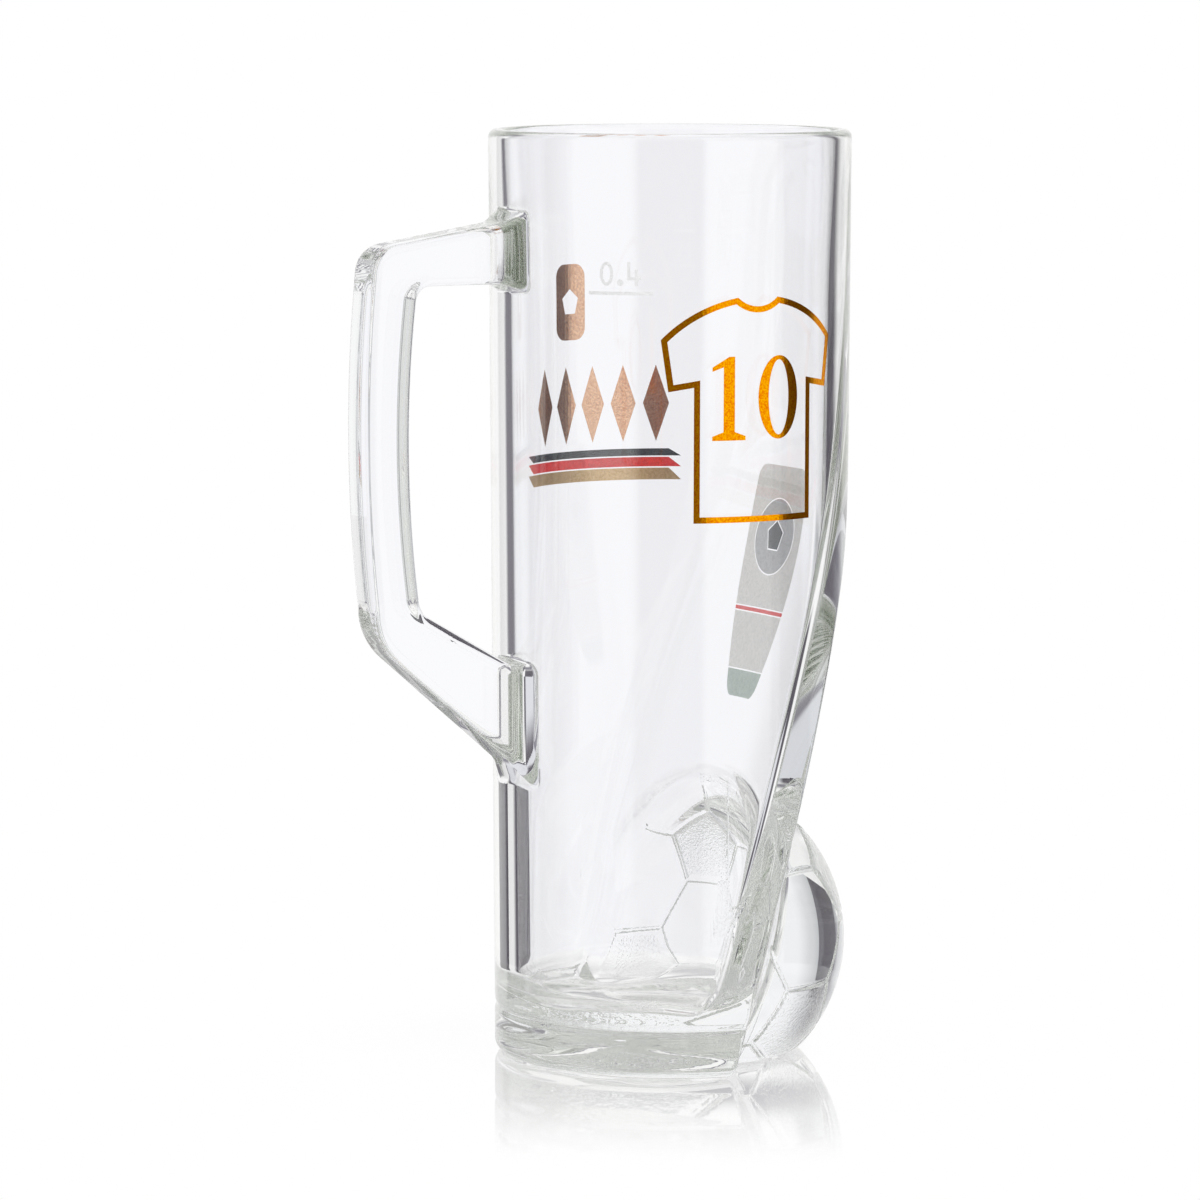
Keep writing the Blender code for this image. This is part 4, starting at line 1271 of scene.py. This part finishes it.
def graded(tree, value, reach, stops):
    """Socket of a colour that follows a value between minus and plus a reach, by (value, colour) stops."""
    share = faded(tree, value, -reach, reach, 0.0, 1.0, "LINEAR")
    ramp = add_node(tree, "ShaderNodeValToRGB", Fac=share)
    elements = ramp.color_ramp.elements
    while len(elements) < len(stops):
        elements.new(0.5)
    for element, (level, colour) in zip(elements, stops):
        element.position = (level / reach + 1.0) / 2
        element.color = colour
    return ramp.outputs["Color"]


def blended(tree, share, first, second):
    """Socket of a colour between a socket's colour and another, which may be a plain one."""
    mix = add_node(tree, "ShaderNodeMix", data_type="RGBA")
    for name, value in (("Factor", share), ("A", first), ("B", second)):
        feed(tree, mix.inputs[name], value)
    return mix.outputs["Result"]


print("colour stops:", {name: len(stops) for name, stops in rings.items()})

# %% [markdown]
# ## Surroundings
#
# Here the lists become one world. The lens sees plain white. A ray that has been mirrored reads the mirror
# rings, and the more often it was, the more it takes the colour of light that was led round. A ray that only
# went through glass reads the backdrop. Rays that point up or down read the heights instead. All that isn't
# seen by the lens, by glass or by metal is lit by an even white dome, so colours stay as they are written.

# %% Surroundings
FALLING = (-0.152, -0.144)
MIRROR_STEEP = (0.28, 0.42)
BACKDROP_STEEP = (0.45, 0.65)
LED_ROUND_TURNS = (1.0, 2.5)
LED_ROUND_SHARE = 0.5
DOME_LIGHT = 0.75


def mirrored_studio(tree, azimuth, rise, turns):
    """Socket of the colour that a mirror image shows."""
    level = faded(tree, rise, *FALLING, 0.0, 1.0)
    low, high, led_round = [
        graded(tree, azimuth, HALF_TURN, rings[name]) for name in ("low_mirror", "mirror", "led_round")
    ]
    walls = blended(tree, level, low, high)
    often = faded(tree, turns, *LED_ROUND_TURNS, 0.0, LED_ROUND_SHARE, "LINEAR")
    guided = blended(tree, often, walls, led_round)
    steep = faded(tree, worked_out(tree, "ABSOLUTE", rise), *MIRROR_STEEP, 0.0, 1.0)
    return blended(tree, steep, guided, graded(tree, rise, 1.0, heights))


def backdrop_behind_glass(tree, azimuth, rise):
    """Socket of the colour that shows straight through the glass."""
    level = faded(tree, rise, *FALLING, 0.0, 1.0)
    low, high = [graded(tree, azimuth, HALF_TURN, rings[name]) for name in ("low_backdrop", "backdrop")]
    walls = blended(tree, level, low, high)
    steep = faded(tree, worked_out(tree, "ABSOLUTE", rise), *BACKDROP_STEEP, 0.0, 1.0)
    return blended(tree, steep, walls, PALE)


def add_surroundings():
    """World: white to the lens, drawn by direction for glass and lustre, and an even dome as light."""
    world = bpy.data.worlds.new("studio")
    world.use_nodes = True
    tree = world.node_tree
    tree.nodes.remove(tree.nodes["Background"])
    way = add_node(tree, "ShaderNodeTexCoord").outputs["Generated"]
    parts = add_node(tree, "ShaderNodeSeparateXYZ", Vector=way).outputs
    azimuth = worked_out(tree, "DEGREES", worked_out(tree, "ARCTAN2", parts["Y"], parts["X"]))
    path = add_node(tree, "ShaderNodeLightPath").outputs
    turns = path["Glossy Depth"]
    mirror = mirrored_studio(tree, azimuth, parts["Z"], turns)
    through = backdrop_behind_glass(tree, azimuth, parts["Z"])
    inside = blended(tree, worked_out(tree, "GREATER_THAN", turns, 0.5), through, mirror)
    seen = blended(tree, path["Is Camera Ray"], inside, WHITE)
    drawn = add_node(tree, "ShaderNodeBackground", Strength=1.0, Color=seen)
    dome = add_node(tree, "ShaderNodeBackground", Strength=DOME_LIGHT, Color=WHITE)
    everything = mixed(tree, seen_rays(tree), dome.outputs[0], drawn.outputs[0])
    feed(tree, tree.nodes["World Output"].inputs["Surface"], everything)
    bpy.context.scene.world = world
    return len(tree.nodes)


print("surroundings:", add_surroundings(), "nodes")

# %% [markdown]
# ## Dark card and lamp
#
# Two things stand at a distance from the mug and so can't be drawn by direction alone. A dark card behind
# it, on the handle's side, gives the low dark streak in the wall, and only rays that came through glass meet
# it. A broad soft lamp above the lens gives the board its soft shadow. Neither shows in a mirror image.

# %% Dark card and lamp
CARD_LEFT = -0.048
CARD_RIGHT = -0.006
CARD_LOW = -0.030
CARD_HIGH = 0.044
CARD_DEPTH = 0.130
CARD_ROUGHNESS = 0.8
LAMP_SIZE = 0.9
LAMP_POWER = 9.0
LAMP_PLACE = Vector((0.25, -1.0, 1.1))
LAMP_AIM = Vector((0.0, 0.0, 0.1))


def add_card():
    """Dark card behind the mug, which only light that has come through the glass meets."""
    outline = ((CARD_LEFT, CARD_LOW), (CARD_RIGHT, CARD_LOW), (CARD_RIGHT, CARD_HIGH), (CARD_LEFT, CARD_HIGH))
    mesh = bpy.data.meshes.new("card")
    mesh.from_pydata([(x, CARD_DEPTH, z) for x, z in outline], [], [(0, 1, 2, 3)])
    finish, _, shader = new_finish("dark_card")
    shader.inputs["Base Color"].default_value = DARK
    shader.inputs["Roughness"].default_value = CARD_ROUGHNESS
    mesh.materials.append(finish)
    card = bpy.data.objects.new("card", mesh)
    bpy.context.collection.objects.link(card)
    card.visible_camera = False
    card.visible_glossy = False
    card.visible_diffuse = False
    card.visible_shadow = False


def add_lamp():
    """Broad soft lamp above the lens and to its right."""
    light = bpy.data.lights.new("soft_lamp", "AREA")
    light.shape = "RECTANGLE"
    light.size = LAMP_SIZE
    light.size_y = LAMP_SIZE
    light.energy = LAMP_POWER
    lamp = bpy.data.objects.new("soft_lamp", light)
    lamp.location = LAMP_PLACE
    lamp.rotation_euler = (LAMP_AIM - LAMP_PLACE).to_track_quat("-Z", "Y").to_euler()
    lamp.visible_glossy = False
    lamp.visible_transmission = False
    bpy.context.collection.objects.link(lamp)


add_card()
add_lamp()
print("lamp:", LAMP_POWER, "W at", round((LAMP_PLACE - LAMP_AIM).length, 2), "m")
